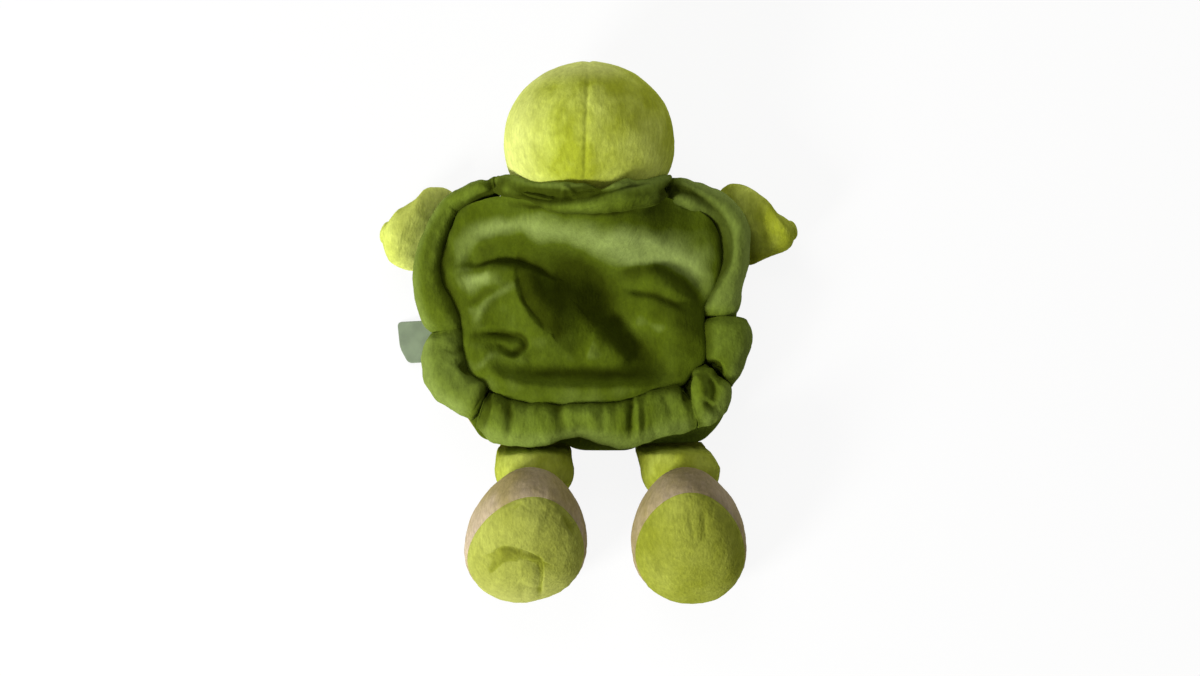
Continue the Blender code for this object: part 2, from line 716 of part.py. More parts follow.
def foot_point(side, level, around, inset_depth):
    """A point of the bun-shaped foot: level along the sole's normal from -1 to 1, around in radians."""
    half_depth = FOOT_DEPTH / 2 - inset_depth
    half_length = FOOT_LENGTH / 2 - inset_depth
    half_width = FOOT_WIDTH / 2 * FOOT_WIDTH_shares[side] - inset_depth
    heel = (1 - math.cos(around)) / 2
    level += HEEL_SEAM_share * heel * (1 - level ** 2) ** 2
    flat = math.sqrt(max(1 - abs(level) ** 2.3, 0.0))
    toward_toe = flat * half_length * math.cos(around)
    taper = 1 - HEEL_TAPER_share * heel
    sideways = flat * (half_width * math.sin(around) * taper + HEEL_LEAN_shares[side] * half_width * heel)
    toe = Vector((0.0, -math.cos(FOOT_TILT_ANGLE), -math.sin(FOOT_TILT_ANGLE)))
    normal = Vector((0.0, -math.sin(FOOT_TILT_ANGLE), math.cos(FOOT_TILT_ANGLE)))
    return toe * toward_toe + Vector((sideways, 0.0, 0.0)) + normal * level * half_depth


def foot_ring(side, level, inset_depth, sides):
    return [foot_point(side, level, 2 * math.pi * i / sides, inset_depth) for i in range(sides)]


def foot_drop():
    """How far the foot's lowest point lies under its middle."""
    points = []
    for level in range(-10, 11):
        points += foot_ring("left", level / 10, 0.0, 24)
    return -min(point.z for point in points)


def foot_skin(side, levels, end, middle, parent, name, colour):
    skins = []
    for depth in (0.0, COVER):
        rings = [foot_ring(side, level, depth, FOOT_SIDES) for level in levels]
        skins.append([[point + middle for point in ring] for ring in rings])
        skins.append(foot_point(side, end, 0.0, depth) + middle)
    return mesh_object(name, walled(*skins), parent, colour)


def make_foot(side, hip):
    ankle_place = ankle_offset(side)
    ankle = empty("foot_" + side + "_ankle", ankle_place, hip)
    across = FOOT_PLACE_shares[side] * SHELL_HALF_WIDTH - leg_hinge_place(side).x - ankle_place.x
    middle = Vector((across, -FOOT_REACH, foot_drop() + SEAM_GAP - ANKLE_HEIGHT))
    seam = SOLE_LEVEL_share
    ball_bm = bmesh.new()
    bmesh.ops.create_uvsphere(ball_bm, u_segments=16, v_segments=10, radius=1.0)
    clear = SEAM_GAP * 2
    sizes = (LEG_WIDTH / 2 + clear, LEG_RADIUS + clear, LEG_RADIUS + clear)
    bmesh.ops.scale(ball_bm, vec=sizes, verts=ball_bm.verts)
    socket = guide(mesh_object("foot_" + side + "_socket_guide", ball_bm, ankle, "filling"))

    upper_levels = [seam, *FOOT_LEVEL_shares["upper"]]
    upper = foot_skin(side, upper_levels, -1.0, middle, ankle, "foot_" + side + "_upper", "beige")
    cut(upper, socket)
    lift = SEAM_GAP * 2 / FOOT_DEPTH
    sole_levels = [seam + lift, *FOOT_LEVEL_shares["sole"]]
    foot_skin(side, sole_levels, 1.0, middle, ankle, "foot_" + side + "_sole", "sole_lime")

    depth = COVER + FILL_GAP * 2
    rings = []
    for level in FOOT_LEVEL_shares["filling"]:
        rings.append([point + middle for point in foot_ring(side, level, depth, FOOT_SIDES)])
    low = foot_point(side, -1.0, 0.0, depth) + middle
    high = foot_point(side, 1.0, 0.0, depth) + middle
    filling = mesh_object("foot_" + side + "_filling", loft(rings, low, high), ankle, "filling")
    cut(filling, socket)


def make_label(parent):
    """A folded satin tape that hangs from the side seam."""
    upper, lower = place_share(TRUNK_CORNER_shares[6]), place_share(TRUNK_CORNER_shares[5])
    along_y = LABEL_PLACE_share * SHELL_HALF_LENGTH
    share = (along_y - lower.y) / (upper.y - lower.y)
    edge = lower + (upper - lower) * share
    hinge = empty("label_hinge", Vector((edge.x - SEAM_GAP * 4, along_y, HINGE_HEIGHT)), parent)
    hinge.rotation_euler = (0.0, -LABEL_DROP_ANGLE, 0.0)
    half = LABEL_WIDTH / 2
    corner = LABEL_WIDTH * LABEL_CORNER_share
    corners = [Vector((0.0, half, 0.0)), Vector((-LABEL_LENGTH, half, 0.0)),
               Vector((-LABEL_LENGTH, -half, 0.0)), Vector((0.0, -half, 0.0))]
    outline = rounded(corners, corner, 3)
    low = shrunk(outline, 0.0, -LABEL_THICKNESS / 2)
    high = shrunk(outline, 0.0, LABEL_THICKNESS / 2)
    mesh_object("care_label", slab([low, high]), hinge, "label", 0.45)


def centre_on_floor(root):
    """Puts the middle of the whole toy's box over the origin."""
    bpy.context.view_layer.update()
    low = [math.inf] * 3
    high = [-math.inf] * 3
    for item in bpy.data.objects:
        if item.type != "MESH" or item.hide_render:
            continue
        for vert in item.data.vertices:
            point = item.matrix_world @ vert.co
            for axis in range(3):
                low[axis] = min(low[axis], point[axis])
                high[axis] = max(high[axis], point[axis])
    root.location = (-(low[0] + high[0]) / 2, -(low[1] + high[1]) / 2, 0.0)
    bpy.context.view_layer.update()


def build():
    clear_scene()
    root = empty("turtle_root", (0.0, 0.0, 0.0))
    make_belly(root)
    make_back_panel(root)
    make_rim(root)
    make_carapace(root)
    turn = empty("head_turn_axis", head_centre(), root)
    make_neck(turn)
    nod = empty("head_nod_axis", (0.0, 0.0, 0.0), turn)
    make_head(nod)
    for side, sign in (("left", -1.0), ("right", 1.0)):
        make_eye(side, sign, nod)
    make_mouth(nod)
    make_arm("left", -1.0, ARM_LEFT_shares, root)
    make_arm("right", 1.0, ARM_RIGHT_shares, root)
    for side in ("left", "right"):
        hip = make_leg(side, root)
        make_foot(side, hip)
    make_label(root)
    centre_on_floor(root)


build()
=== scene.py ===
"""A plush turtle hand puppet lying on its front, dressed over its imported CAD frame.

Shapes are worked out in millimetres in the frame's own axes: +Y towards the head, +X to the right in the
photograph, +Z up. They become metres where a mesh is made.
"""
import math

import bpy
import numpy as np
from bpy.props import FloatProperty, FloatVectorProperty, PointerProperty
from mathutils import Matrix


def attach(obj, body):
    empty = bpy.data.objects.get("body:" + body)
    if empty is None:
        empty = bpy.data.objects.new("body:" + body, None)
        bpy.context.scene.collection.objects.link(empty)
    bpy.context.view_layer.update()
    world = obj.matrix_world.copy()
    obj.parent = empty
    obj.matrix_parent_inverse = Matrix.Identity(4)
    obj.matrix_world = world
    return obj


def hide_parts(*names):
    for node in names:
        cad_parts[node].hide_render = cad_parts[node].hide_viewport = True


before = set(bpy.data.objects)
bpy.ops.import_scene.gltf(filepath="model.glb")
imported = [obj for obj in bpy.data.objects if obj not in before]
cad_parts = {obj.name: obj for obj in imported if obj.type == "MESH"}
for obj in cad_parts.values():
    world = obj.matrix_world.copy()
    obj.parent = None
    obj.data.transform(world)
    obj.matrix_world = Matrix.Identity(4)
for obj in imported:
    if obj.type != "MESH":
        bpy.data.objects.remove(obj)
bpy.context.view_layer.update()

bl_info = {
    "name": "Plush Turtle",
    "version": (1, 0, 0),
    "blender": (4, 5, 0),
    "location": "View3D > Sidebar > Plush Turtle",
    "description": "Builds a plush turtle hand puppet with a slack shell over its hand pocket",
    "category": "Object",
}

MM = 0.001
RIGHT, FORWARD, UP = np.eye(3)

# Head: middle and radius of the ball, its stretch along each axis, and the direction towards each eye and the mouth
HEAD_MIDDLE = np.array([0.4, 103.0, 46.0])
HEAD_RADIUS = 46.0
HEAD_STRETCH = np.array([1.028, 0.972, 0.995])
HEAD_SEAM_LEAN = 0.03
EYE_DIRECTION = np.array([0.40, 0.60, -0.69])
EYE_RADIUS = 5.0
EYE_EDGE = 0.5
EYE_DOME = 2.8
MOUTH_DIRECTION = np.array([0.0, 0.32, -0.947])
MOUTH_HALF_WIDTH = 11.0
MOUTH_SMILE = 3.9
THREAD_RADIUS = 0.7
THREAD_TURNS = 22

# Neck: radius and distance behind the head's middle
NECK = ((8.0, 54.6), (12.0, 54.2), (14.5, 53.0), (15.6, 51.0), (15.9, 47.6), (15.9, 45.4))
NECK_FRONT = 46.6

# Outline of the trunk at its seam, from the front right corner clockwise, the lip that takes the place of its
# rear edge on the back panel, and the belly's edge as distances inwards and up
TRUNK_CORNERS = (
    (76.5, 69.0), (86.1, 39.7), (79.4, -22.3), (66.3, -57.9),
    (-59.6, -57.9), (-81.6, -22.3), (-85.4, 39.7), (-75.7, 69.0),
)
LIP_CORNERS = (
    (77.5, -40.0), (72.5, -50.0), (63.0, -59.6), (30.0, -60.4), (23.0, -64.3), (-6.0, -64.1), (-15.0, -59.6),
    (-50.0, -59.2),
)
BELLY_LEVELS = ((7.0, 0.0), (2.6, 1.0), (0.3, 3.5), (-0.3, 6.0), (0.2, 8.6), (0.9, 10.6), (2.5, 11.0))
BELLY_CORNER_RADIUS = 12.0
BACK_CORNER_RADIUS = 5.0
BACK_LOW = 11.3
BACK_TOP = 13.3

# Rim rolls: the edge at the carapace, the outer edge, and bottom and top at each station along the path
RIM_ROLLS = {
    "rim_upper_left": (
        (-47.9, 73.5, -51.4, 84.1, 35.5, 52.5), (-56.1, 71.8, -59.1, 82.3, 29, 51),
        (-64.9, 70.9, -69.9, 79.7, 19.5, 46.5), (-70.8, 67.3, -78.1, 76.2, 15, 42),
        (-74.6, 59.6, -86.9, 66, 13.75, 40.25), (-77.9, 51, -91.9, 55.1, 13.75, 40.25),
        (-80.5, 42.5, -95.4, 44.2, 13.75, 40.25), (-81.5, 33.2, -96.9, 33.3, 13.8, 40.2),
        (-79.3, 24.8, -96.3, 23.3, 13.8, 39.8), (-74.7, 16.4, -95.2, 13.9, 13.75, 39.25),
        (-71, 8.1, -91.4, 4.9, 13.75, 38.25), (-68.9, 2.5, -86, -0.5, 13.75, 37.25),
    ),
    "rim_lower_left": (
        (-68.6, 1, -87.5, -2.7, 13.75, 37.25), (-67.8, -8, -91, -10.8, 13.75, 38.25),
        (-66.2, -16.5, -91.4, -19.6, 13.75, 39.25), (-63.4, -23.4, -89.2, -28.9, 13.75, 40.25),
        (-60, -26.9, -83.0, -37.6, 13.5, 40.5), (-56.7, -29.2, -72.8, -43.6, 13.5, 40.5),
        (-53.4, -31.3, -64.8, -49.3, 13.5, 40.5),
    ),
    "hem_roll": (
        (-52.8, -31.9, -60.7, -54.6, 13.5, 40.5), (-43.4, -36.9, -50.9, -61.5, 14.75, 41.25),
        (-32.9, -39.6, -37.3, -63.6, 19, 42), (-19.4, -40.7, -23.9, -63.1, 21.5, 42.5),
        (-10.5, -40.7, -13.5, -60.1, 21.75, 42.25), (-1.6, -40.5, -4.5, -58.9, 21.75, 42.25),
        (7.4, -40.1, 4.4, -61.3, 21.75, 42.25), (16.3, -38.8, 14.8, -64.2, 21, 42),
        (25.3, -36.6, 24.5, -64.1, 20.25, 41.75), (34.3, -33.2, 35.7, -60.1, 18.75, 41.25),
        (43.3, -30.9, 47.7, -56.9, 16.25, 40.75), (50.8, -28.9, 59, -54.3, 13.75, 40.25),
    ),
    "rim_corner_right": (
        (51.7, -28.6, 61.3, -53.9, 13.5, 40.5), (53.8, -25.7, 72.2, -48.6, 13.5, 40.5),
        (56.9, -21.6, 78.0, -39.6, 13.5, 40.5), (62.6, -18.1, 78.6, -31.6, 13.7, 39.7),
    ),
    "rim_lower_right": (
        (65, -16.5, 79.6, -30, 13.3, 39.7), (64.2, -10.5, 85.1, -19.8, 13.5, 40.5),
        (63.6, -3.7, 89, -9.4, 13.5, 40.5), (62.8, 2.2, 90, -0.6, 13.5, 39.9),
        (63.2, 5.5, 88.5, 4.9, 13.5, 38.5),
    ),
    "rim_upper_right": (
        (62.9, 9.5, 81.3, 9, 13.5, 38.1), (63.5, 14.1, 84.0, 16.9, 13.5, 39.1),
        (67.8, 22.5, 85.8, 27.9, 13.55, 40.05), (71.4, 31.7, 88.7, 37.9, 13.75, 40.25),
        (72.7, 41.7, 89.9, 49.6, 13.75, 40.25), (71.9, 51, 89.1, 59, 13.6, 40.4),
        (68.1, 59.5, 85.5, 67.9, 13.7, 40.7), (62, 64.3, 78.4, 75.8, 16.5, 43.5),
        (54.2, 67.2, 68.5, 80.1, 21.5, 47.5), (45, 68.4, 56.4, 82.6, 29, 51),
        (38.1, 68.9, 46.6, 83.7, 35.5, 52.5),
    ),
}

# Collar: its edge on the carapace and its edge behind the head, from left to right
COLLAR = (
    (-51.8, 72.8, 48, -47.8, 83.6, 50), (-43.1, 68.4, 57, -40.2, 81.5, 58),
    (-30.9, 62.5, 65, -28, 75.3, 67), (-16.1, 57.7, 71, -13, 72.2, 79), (-1.4, 55.7, 73.5, 1.6, 71.2, 83),
    (13.2, 56.3, 73, 16.1, 71.7, 81), (26.5, 59.6, 68, 27.9, 74, 72), (35.5, 63.5, 61, 38.6, 80.2, 60),
    (42.5, 67.7, 52, 44, 83.8, 52),
)
COLLAR_THICKNESS = 9.0

# Rolls of the rim: how crumpled, rows of the mesh, and how much painted light and painted shade the whole roll gets
ROLL_FINISH = {
    "rim_upper_left": (0.7, 260, 0.0, 0.0), "rim_lower_left": (0.9, 150, 0.15, 0.0),
    "hem_roll": (0.9, 280, 0.0, 0.0), "rim_corner_right": (1.5, 100, 0.0, 0.0),
    "rim_lower_right": (0.7, 100, 0.0, 0.12), "rim_upper_right": (0.7, 260, 0.30, 0.0),
}
ROLL_COLUMNS = 140
ROLL_CAP = 1.3
ROLL_SHOULDER = 3.2

# Folds, tucks and pleats of the rim, as for the carapace below
RIM_FOLDS = (
    (-0.8, 2.5, 3.5, ((-75, 70.4), (-82.4, 58.7), (-87.2, 45.6), (-88.2, 33.3))),
    (-1, 2, 3, ((-67.5, -10.9), (-73.2, -12.5), (-79.2, -10.9))),
    (-2, 1.6, 2.6, ((-63.8, -24.2), (-67.1, -23), (-70.9, -19.3))),
    (2.4, 3.5, 4, ((-58.7, -28.8), (-61, -37.3), (-65.3, -46.3))),
    (-2.2, 2.2, 3, ((-55.4, -31.3), (-53.8, -39.6), (-57.1, -51.6), (-57.8, -57.5))),
    (1.2, 3, 3.5, ((-49.1, -39.6), (-47.2, -48.6), (-46.7, -59))),
    (-1.6, 2, 2.5, ((-44, -39.6), (-42.2, -48.6), (-43, -59))),
    (-2, 3.5, 4, ((-17.9, -41.8), (-14.9, -50.1), (-13.4, -60.5))),
    (1.3, 4, 3.5, ((-13.4, -53), (-7.5, -49), (0, -48.5), (5, -52))),
    (-0.8, 3.5, 3, ((-9, -57), (-4, -54.5), (1, -56))),
    (-0.9, 1.8, 2.6, ((7.1, -41.4), (8.1, -50.1), (7.7, -59))),
    (-0.7, 1.6, 2.4, ((14.8, -41.4), (15.1, -50.1), (14.5, -58.3))),
    (-3, 1.6, 2.2, ((24, -39.6), (23.4, -48.6), (23.7, -58.3))),
    (1.6, 2.2, 2.5, ((26.7, -39.6), (27, -48.6), (26.9, -58.3))),
    (-1.0, 1.6, 2.2, ((29.7, -43.3), (30.1, -50.1), (30.3, -57.5))),
    (-0.5, 1.8, 2.4, ((32.9, -42.6), (33.8, -50.1), (34.8, -57.5))),
    (-1, 2.5, 3, ((40.1, -35.8), (43.8, -43.3), (45.2, -50.1))),
    (1.2, 3, 3, ((31.2, -37.5), (40.1, -35.1), (49.8, -34.5))),
    (-3.2, 1.8, 2.6, ((56.8, -22.7), (53.2, -31.3), (54.9, -41.8))),
    (-3, 1.6, 2.4, ((63.7, -18.8), (70, -20), (72.9, -26.8))),
    (-2, 2, 2.6, ((63.1, -40.3), (68.3, -44.4), (72.7, -43.3))),
    (-2.2, 2, 2.6, ((65.1, -27.6), (69.8, -35.1), (68.3, -41.8))),
    (2.6, 3.4, 3.4, ((58.8, -25.3), (61.7, -33.6), (60.9, -39.6))),
    (-2.6, 2.4, 5, (
        (39.2, 71.6), (46.8, 77.5), (55.8, 75.6), (64.9, 70.4), (73.5, 62.3), (78, 51.8), (77, 37.9), (72.2, 24.8),
    )),
    (-2, 2, 2.6, ((-56.5, 84.1), (-54.4, 79.7), (-50.7, 75.3))),
    (-6.0, 4.5, 4.5, (
        (-40.7, 73.2), (-31.2, 67.8), (-21.4, 64.5), (-11.8, 63.8), (-1.6, 65.3), (8.0, 69.4), (14.5, 74.4),
    )),
    (2.0, 2.2, 2.2, ((-32.9, 63.3), (-20.4, 59.6), (-8.1, 58.6), (6.4, 60.0), (19.9, 63.5), (33.6, 68.5))),
    (2.2, 2.2, 2.2, ((-7.0, 62.6), (6.4, 66.8), (18.3, 71.6), (30.9, 78.1), (38.1, 81.4))),
    (-1.8, 1.2, 1.4, ((-2.7, 60.9), (8.6, 64.5), (20.5, 69.0), (33.7, 74.0))),
    (2.6, 1.8, 1.8, ((-16.2, 63.5), (-12.3, 68.1), (-8.0, 63.5))),
    (-2.6, 1.8, 2.4, ((39.8, 67.2), (43.7, 72.3), (50.4, 77.9))),
    (-1.6, 2.6, 3.0, ((-73.5, 50.0), (-70.0, 60.0), (-64.4, 66.5), (-57.0, 71.1), (-50.0, 74.6))),
)

# Painted shade on parts of the rim that lie in a hollow: how dark, as for the folds
RIM_SHADES = (
    (0.75, 3.5, 3.5, ((-56.0, 69.0), (-49.5, 75.0), (-44.5, 81.0))),
    (0.65, 4.0, 4.5, ((-76.5, 44.0), (-72.5, 56.0), (-67.0, 63.0), (-59.0, 68.5), (-52.0, 71.6))),
    (0.45, 5.0, 3.0, ((-40.7, 73.2), (-21.4, 65.5), (-1.6, 66.3), (14.5, 73.4), (30.0, 80.0))),
    (0.60, 2.5, 4.0, ((38.0, 66.0), (43.7, 72.3), (50.4, 76.9), (60.0, 74.0))),
    (0.55, 4.5, 4.5, ((-56.0, -36.0), (-50.0, -42.5), (-44.0, -47.0), (-38.0, -47.0))),
    (0.50, 5.0, 3.0, ((40.0, -35.0), (47.0, -36.0), (54.0, -31.0))),
)

# Carapace seam: place and height, from the collar's left end round the rear to its right end
CARAPACE_SEAM = (
    (-50.6, 70.9, 52), (-58.7, 70.4, 46), (-65.8, 69.4, 40), (-72.1, 66.1, 35), (-76, 58.8, 32.5),
    (-79.1, 50.6, 31), (-82, 42.3, 30.5), (-83.1, 33, 30.5), (-80.9, 24.6, 30), (-76.3, 16.6, 29.5),
    (-72.9, 8.7, 29), (-70.7, 2.5, 29), (-69.9, -8, 30), (-67.6, -17.1, 31), (-64.8, -24.5, 32),
    (-60.6, -28.6, 33), (-56.5, -31.8, 34), (-51.5, -34.6, 34.5), (-43.3, -38.5, 35), (-32.8, -41.1, 36),
    (-19.4, -42, 36), (-10.5, -42.1, 36), (-1.5, -42, 36), (7.4, -41.5, 36), (16.3, -40.3, 35.5),
    (25.3, -38.1, 35), (34.2, -34.7, 34.5), (43.2, -32.7, 34), (51.5, -30.7, 33), (55.6, -26.7, 32.5),
    (59.1, -21.3, 32), (64.1, -17.4, 31), (65.4, -10.4, 30.5), (64.9, -3.5, 30), (64.4, 4.3, 29.5),
    (64.3, 9.6, 29.5), (65.1, 14.2, 30), (69.3, 22.1, 31), (72.7, 31.2, 32), (73.9, 41.3, 33),
    (73, 51, 34.5), (69.3, 59.4, 37), (62.8, 64.1, 42), (54.6, 69, 44), (45.8, 70, 50),
    (39.5, 70, 56), (31, 62.5, 66), (20, 60.5, 70), (7.5, 58.5, 71), (-2, 58.3, 71), (-15, 60.2, 70),
    (-25, 63, 66.5), (-36, 67.5, 60), (-44, 70, 56),
)

# Paths that both a fold of the carapace and the painted light and shade beside it follow
POOL_EDGE = ((-38.7, 33.8), (-37.8, 25.4), (-35.6, 16.9), (-29.4, 6.8), (-21.7, -2.2))
LEFT_CREASE = ((-63.4, 36.1), (-54.5, 37.2), (-43.5, 37.2), (-32.4, 35.0), (-17.9, 29.3))
LEFT_RIDGE = ((-61.4, 5.7), (-57.1, 13.5), (-51.1, 19.2), (-41.2, 24.2))
POOL_FACET = ((4.7, 0.1), (2.0, -8.3), (0.9, -17.8))
HOOK = ((-61.3, -1.6), (-49.2, -1.6), (-37.1, -4.4), (-34.3, -10.0), (-40.9, -14.5), (-47.5, -11.1))

# Level of the slack carapace at the rear and at both sides of the collar, its rise to the collar's middle, the
# half width of that rise, and the span of y in which the panel climbs to the collar
POOL_LEVEL = 35.2
FRONT_LEVEL = 39.2
COLLAR_RISE = 32.7
RISE_HALF_WIDTH = 42.0
CLIMB = (22.0, 62.0)
CARAPACE_MIDDLE = np.array([0.0, 10.0])
CARAPACE_THICKNESS = 2.2

# Folds of the slack carapace: height, width on its left and right side, and the points that it follows
FOLDS = (
    (-2.6, 6.0, 1.8, POOL_EDGE),
    (-2.4, 3.2, 1.5, LEFT_CREASE),
    (1.7, 2.2, 2.4, LEFT_RIDGE),
    (1.3, 5.0, 1.6, POOL_FACET),
    (8.5, 13.0, 15.0, ((-66, 30), (-52, 31), (-41, 29), (-33, 19), (-25, 5), (-18, -10))),
    (-8.5, 9.0, 14.0, ((-38, 40), (-16, 38), (0, 35), (9, 26), (12, 12), (25, -4), (45, -26))),
    (7.5, 13.0, 14.0, ((27, 25), (40, 21), (47, 9), (44, -8))),
    (4.0, 6.0, 10.0, ((3, 3), (12, -7), (23, -20))),
    (7.0, 7.0, 9.0, ((-67, -14), (-57, -22), (-43, -31), (-14, -34.5), (31, -33.5), (48, -27))),
    (-3.5, 6.0, 6.0, ((-34, -23), (-14, -24), (16, -24), (38, -23))),
    (-5.0, 6.0, 5.0, ((-72, 38), (-56, 39), (-41, 39), (-28, 40))),
    (3.5, 5.0, 6.0, ((-66, 44), (-52, 47), (-40, 49), (-30, 48))),
    (-3.6, 1.5, 3.0, HOOK),
    (3.5, 5.0, 6.0, ((-62, -12), (-47, -15), (-31, -14))),
    (-4.0, 5.0, 5.0, ((13, 33), (24, 37), (39, 37), (51, 33), (60, 24), (64, 12))),
    (-3.2, 3.0, 3.5, ((17, 25), (32, 21), (47, 15), (60, 12))),
)

# Painted light and shade of the carapace: how much lighter or darker, width on the left and right side, and the
# points
PAINTED_LIGHT_AND_SHADE = (
    (-0.75, 12, 11, ((-24.0, 20.8), (-9.1, 18.0), (8.1, 13.5))),
    (-0.85, 10, 1.4, POOL_EDGE),
    (-0.80, 3.2, 1.2, LEFT_CREASE),
    (0.40, 1.2, 2.2, ((-70.0, 33.5), (-60.1, 34.4), (-49.0, 34.1), (-40.1, 32.1))),
    (0.32, 1.8, 2.0, LEFT_RIDGE),
    (-0.50, 2.0, 2.2, ((-67.6, 14.1), (-59.9, 17.5), (-51.7, 23.7))),
    (0.20, 6.0, 1.4, POOL_FACET),
    (0.30, 5.0, 5.0, ((24.0, 6.2), (34.0, 3.4), (43.3, -3.3))),
    (0.25, 1.8, 2.2, ((-50.8, -14.5), (-55.1, -17.2), (-60.0, -22.2))),
    (0.78, 6.5, 6.0, (
        (-70.8, 41.4), (-65.7, 49.8), (-53.8, 53.6), (-37.4, 53.9), (-19.5, 50.2), (1.4, 45.2),
        (23.8, 42.1), (43.1, 40.5), (55, 38.0),
    )),
    (0.48, 11, 9, ((8, 45), (24, 43), (43, 41), (57, 35), (66, 25))),
    (-0.22, 5, 5, ((-62, 61), (-40, 60), (-15, 55), (10, 53), (35, 55), (55, 56))),
    (-0.5, 9, 9, ((30, 14), (46, 8), (54, -4), (50, -14))),
    (0.80, 3.8, 3.8, ((-69.8, 25.2), (-62.0, 26.5), (-53.0, 27.5))),
    (0.25, 3.5, 5, ((-66.5, 12.0), (-62.0, 9.0), (-60.0, 3.0))),
    (0.05, 4, 5, (
        (-43.2, -26.4), (-34.2, -32.4), (-19.3, -36.1),
        (1.4, -36.6), (20.7, -33.6), (37.1, -30.6),
    )),
    (0.12, 4, 5, ((4.4, -3), (10.4, -12.1), (16.3, -18.2))),
    (-1, 9, 11, (
        (-25.8, 37.2), (-13.7, 36.4), (-0.1, 29.5), (6.6, 18.8), (9.6, 8),
        (16.4, -2.6), (26.9, -10.3), (35.8, -17.8), (44, -24.7),
    )),
    (-0.8, 9, 3.5, ((-33.3, 23.4), (-25.7, 12.6), (-19.6, 0.4), (-13.6, -8.7))),
    (-0.9, 1.3, 2.6, HOOK),
    (-0.8, 3.5, 4, ((-35.2, -25.4), (-13.5, -23.6), (10.4, -24.7), (32.8, -25.7))),
    (-0.8, 2.2, 3, ((-64, 33.6), (-51.3, 35.7), (-37.7, 34.5))),
    (-0.5, 5, 3, ((-63, 39.7), (-49.6, 47.3), (-31.6, 46.6))),
    (-0.8, 2.6, 4, ((14.9, 28.7), (26.9, 32.1), (40.5, 32.5), (50.9, 27.1), (58.1, 19.5), (62.1, 11.1))),
    (-0.6, 1.8, 2.4, ((23.9, 20.7), (35.9, 18.3), (52.3, 10.6))),
    (-0.7, 4.0, 4.0, ((-75.5, 57), (-79, 48), (-80.5, 38), (-80.5, 30), (-76.5, 19), (-71, 8), (-69, -2))),
    (-0.6, 2.5, 2.5, ((71, 27), (74, 40), (72.5, 51), (66, 60))),
    (-0.9, 2, 1.6, (
        (-43.2, 67), (-35.2, 65.5), (-24.9, 61.3), (-14.6, 58.7),
        (-1.4, 57.1), (8.8, 57.2), (20.5, 58.9), (34.5, 61),
    )),
)

# Arms: distance out, the two edges along the hinge, bottom and top
ARM_LEFT = (
    (-2.4, -18.5, 20.5, 5.2, 8.8), (0.0, -20.5, 22.5, 4.0, 10.0), (3.2, -23.0, 24.6, 3.0, 14.0),
    (8.0, -25.9, 24.8, 1.6, 22.0), (13.1, -26.9, 23.4, 0.6, 27.8), (17.0, -26.9, 20.6, 0.5, 30.4),
    (19.8, -26.4, 13.4, 0.5, 31.4), (23.7, -25.0, 8.2, 0.6, 31.0), (27.5, -20.6, 3.8, 1.9, 28.8),
    (30.4, -16.3, -3.8, 4.8, 24.3),
)
ARM_RIGHT = (
    (-2.4, -17.5, 24.5, 5.2, 8.8), (0.0, -18.5, 26.8, 4.0, 10.0), (3.5, -19.6, 28.4, 3.0, 14.0),
    (8.0, -19.6, 27.6, 1.6, 22.0), (14.1, -19.2, 23.4, 0.6, 28.4), (18.6, -19.2, 17.0, 0.5, 30.7),
    (22.1, -19.2, 11.5, 0.5, 31.4), (24.6, -18.7, 3.8, 0.6, 30.7), (27.5, -17.3, 0.0, 1.9, 28.8),
    (30.1, -14.4, -3.4, 4.8, 24.3),
)
SHOULDERS = {
    "left": ((-82.33, 59.51, 7.0), (-0.9498, 0.3129), (0.3129, 0.9498)),
    "right": ((83.06, 59.51, 7.0), (0.9498, 0.3129), (-0.3129, 0.9498)),
}

HAND_DOME = 3.2
# Painted shade over each whole arm, and painted light near each shoulder
ARM_PAINTED_SHADE = {"left": 0.0, "right": 0.18}
ARM_PAINTED_LIGHT = {"left": 0.5, "right": 0.0}

# Legs: hinge middle and ankle middle. Rings: share of the way out, half width, bottom and top. The ball at the
# ankle: half width, reach and half height
LEGS = {
    "left": ((-30.0, -61.2, 7.0), (-29.7, -74.7, 18.0)),
    "right": ((45.4, -61.2, 7.0), (50.7, -74.7, 18.0)),
}
LEG_RINGS = (
    (-0.18, 18.6, 5.2, 8.8), (0.0, 19.6, 4.0, 10.0), (0.13, 20.2, 3.2, 16.5), (0.28, 20.6, 2.3, 24.6),
    (0.43, 20.8, 2.2, 30.2), (0.60, 21.2, 1.9, 33.4), (1.0, 21.9, 1.6, 34.4),
)
ANKLE_BALL = (21.9, 16.5, 16.4)

# Feet: middle, half width and half length of the bun, its half depth, the tilt of its sole, and the level of the
# sole's seam as a share of the half depth. At the heel the bun narrows and leans over, and its seam rises most
# towards one direction. The painted shade on each upper, and the painted light on the left sole
FEET = {
    "left": (np.array([-34.8, -112.7, 32.4]), 38.8, 39.5),
    "right": (np.array([55.3, -113.2, 32.4]), 35.4, 40.0),
}
FOOT_HALF_DEPTH = 25.0
FOOT_TILT = math.radians(38)
TOE = np.array([0.0, -math.cos(FOOT_TILT), -math.sin(FOOT_TILT)])
SOLE_NORMAL = np.array([0.0, -math.sin(FOOT_TILT), math.cos(FOOT_TILT)])
SOLE_LEVEL = 0.28
HEEL_TAPER = {"left": 0.31, "right": 0.25}
HEEL_SEAM = {"left": (0.34, math.radians(16)), "right": (0.26, math.radians(22))}
HEEL_LEAN = {"left": 0.15, "right": -0.12}
SEAM_GAP = 0.001
SEAM_GROOVE = 0.012
LINING = 0.955
UPPER_PAINTED_SHADE = {"left": 0.05, "right": 0.22}
SOLE_PAINTED_LIGHT = {"left": (0.12, 0.22), "right": (0.0, 0.0)}

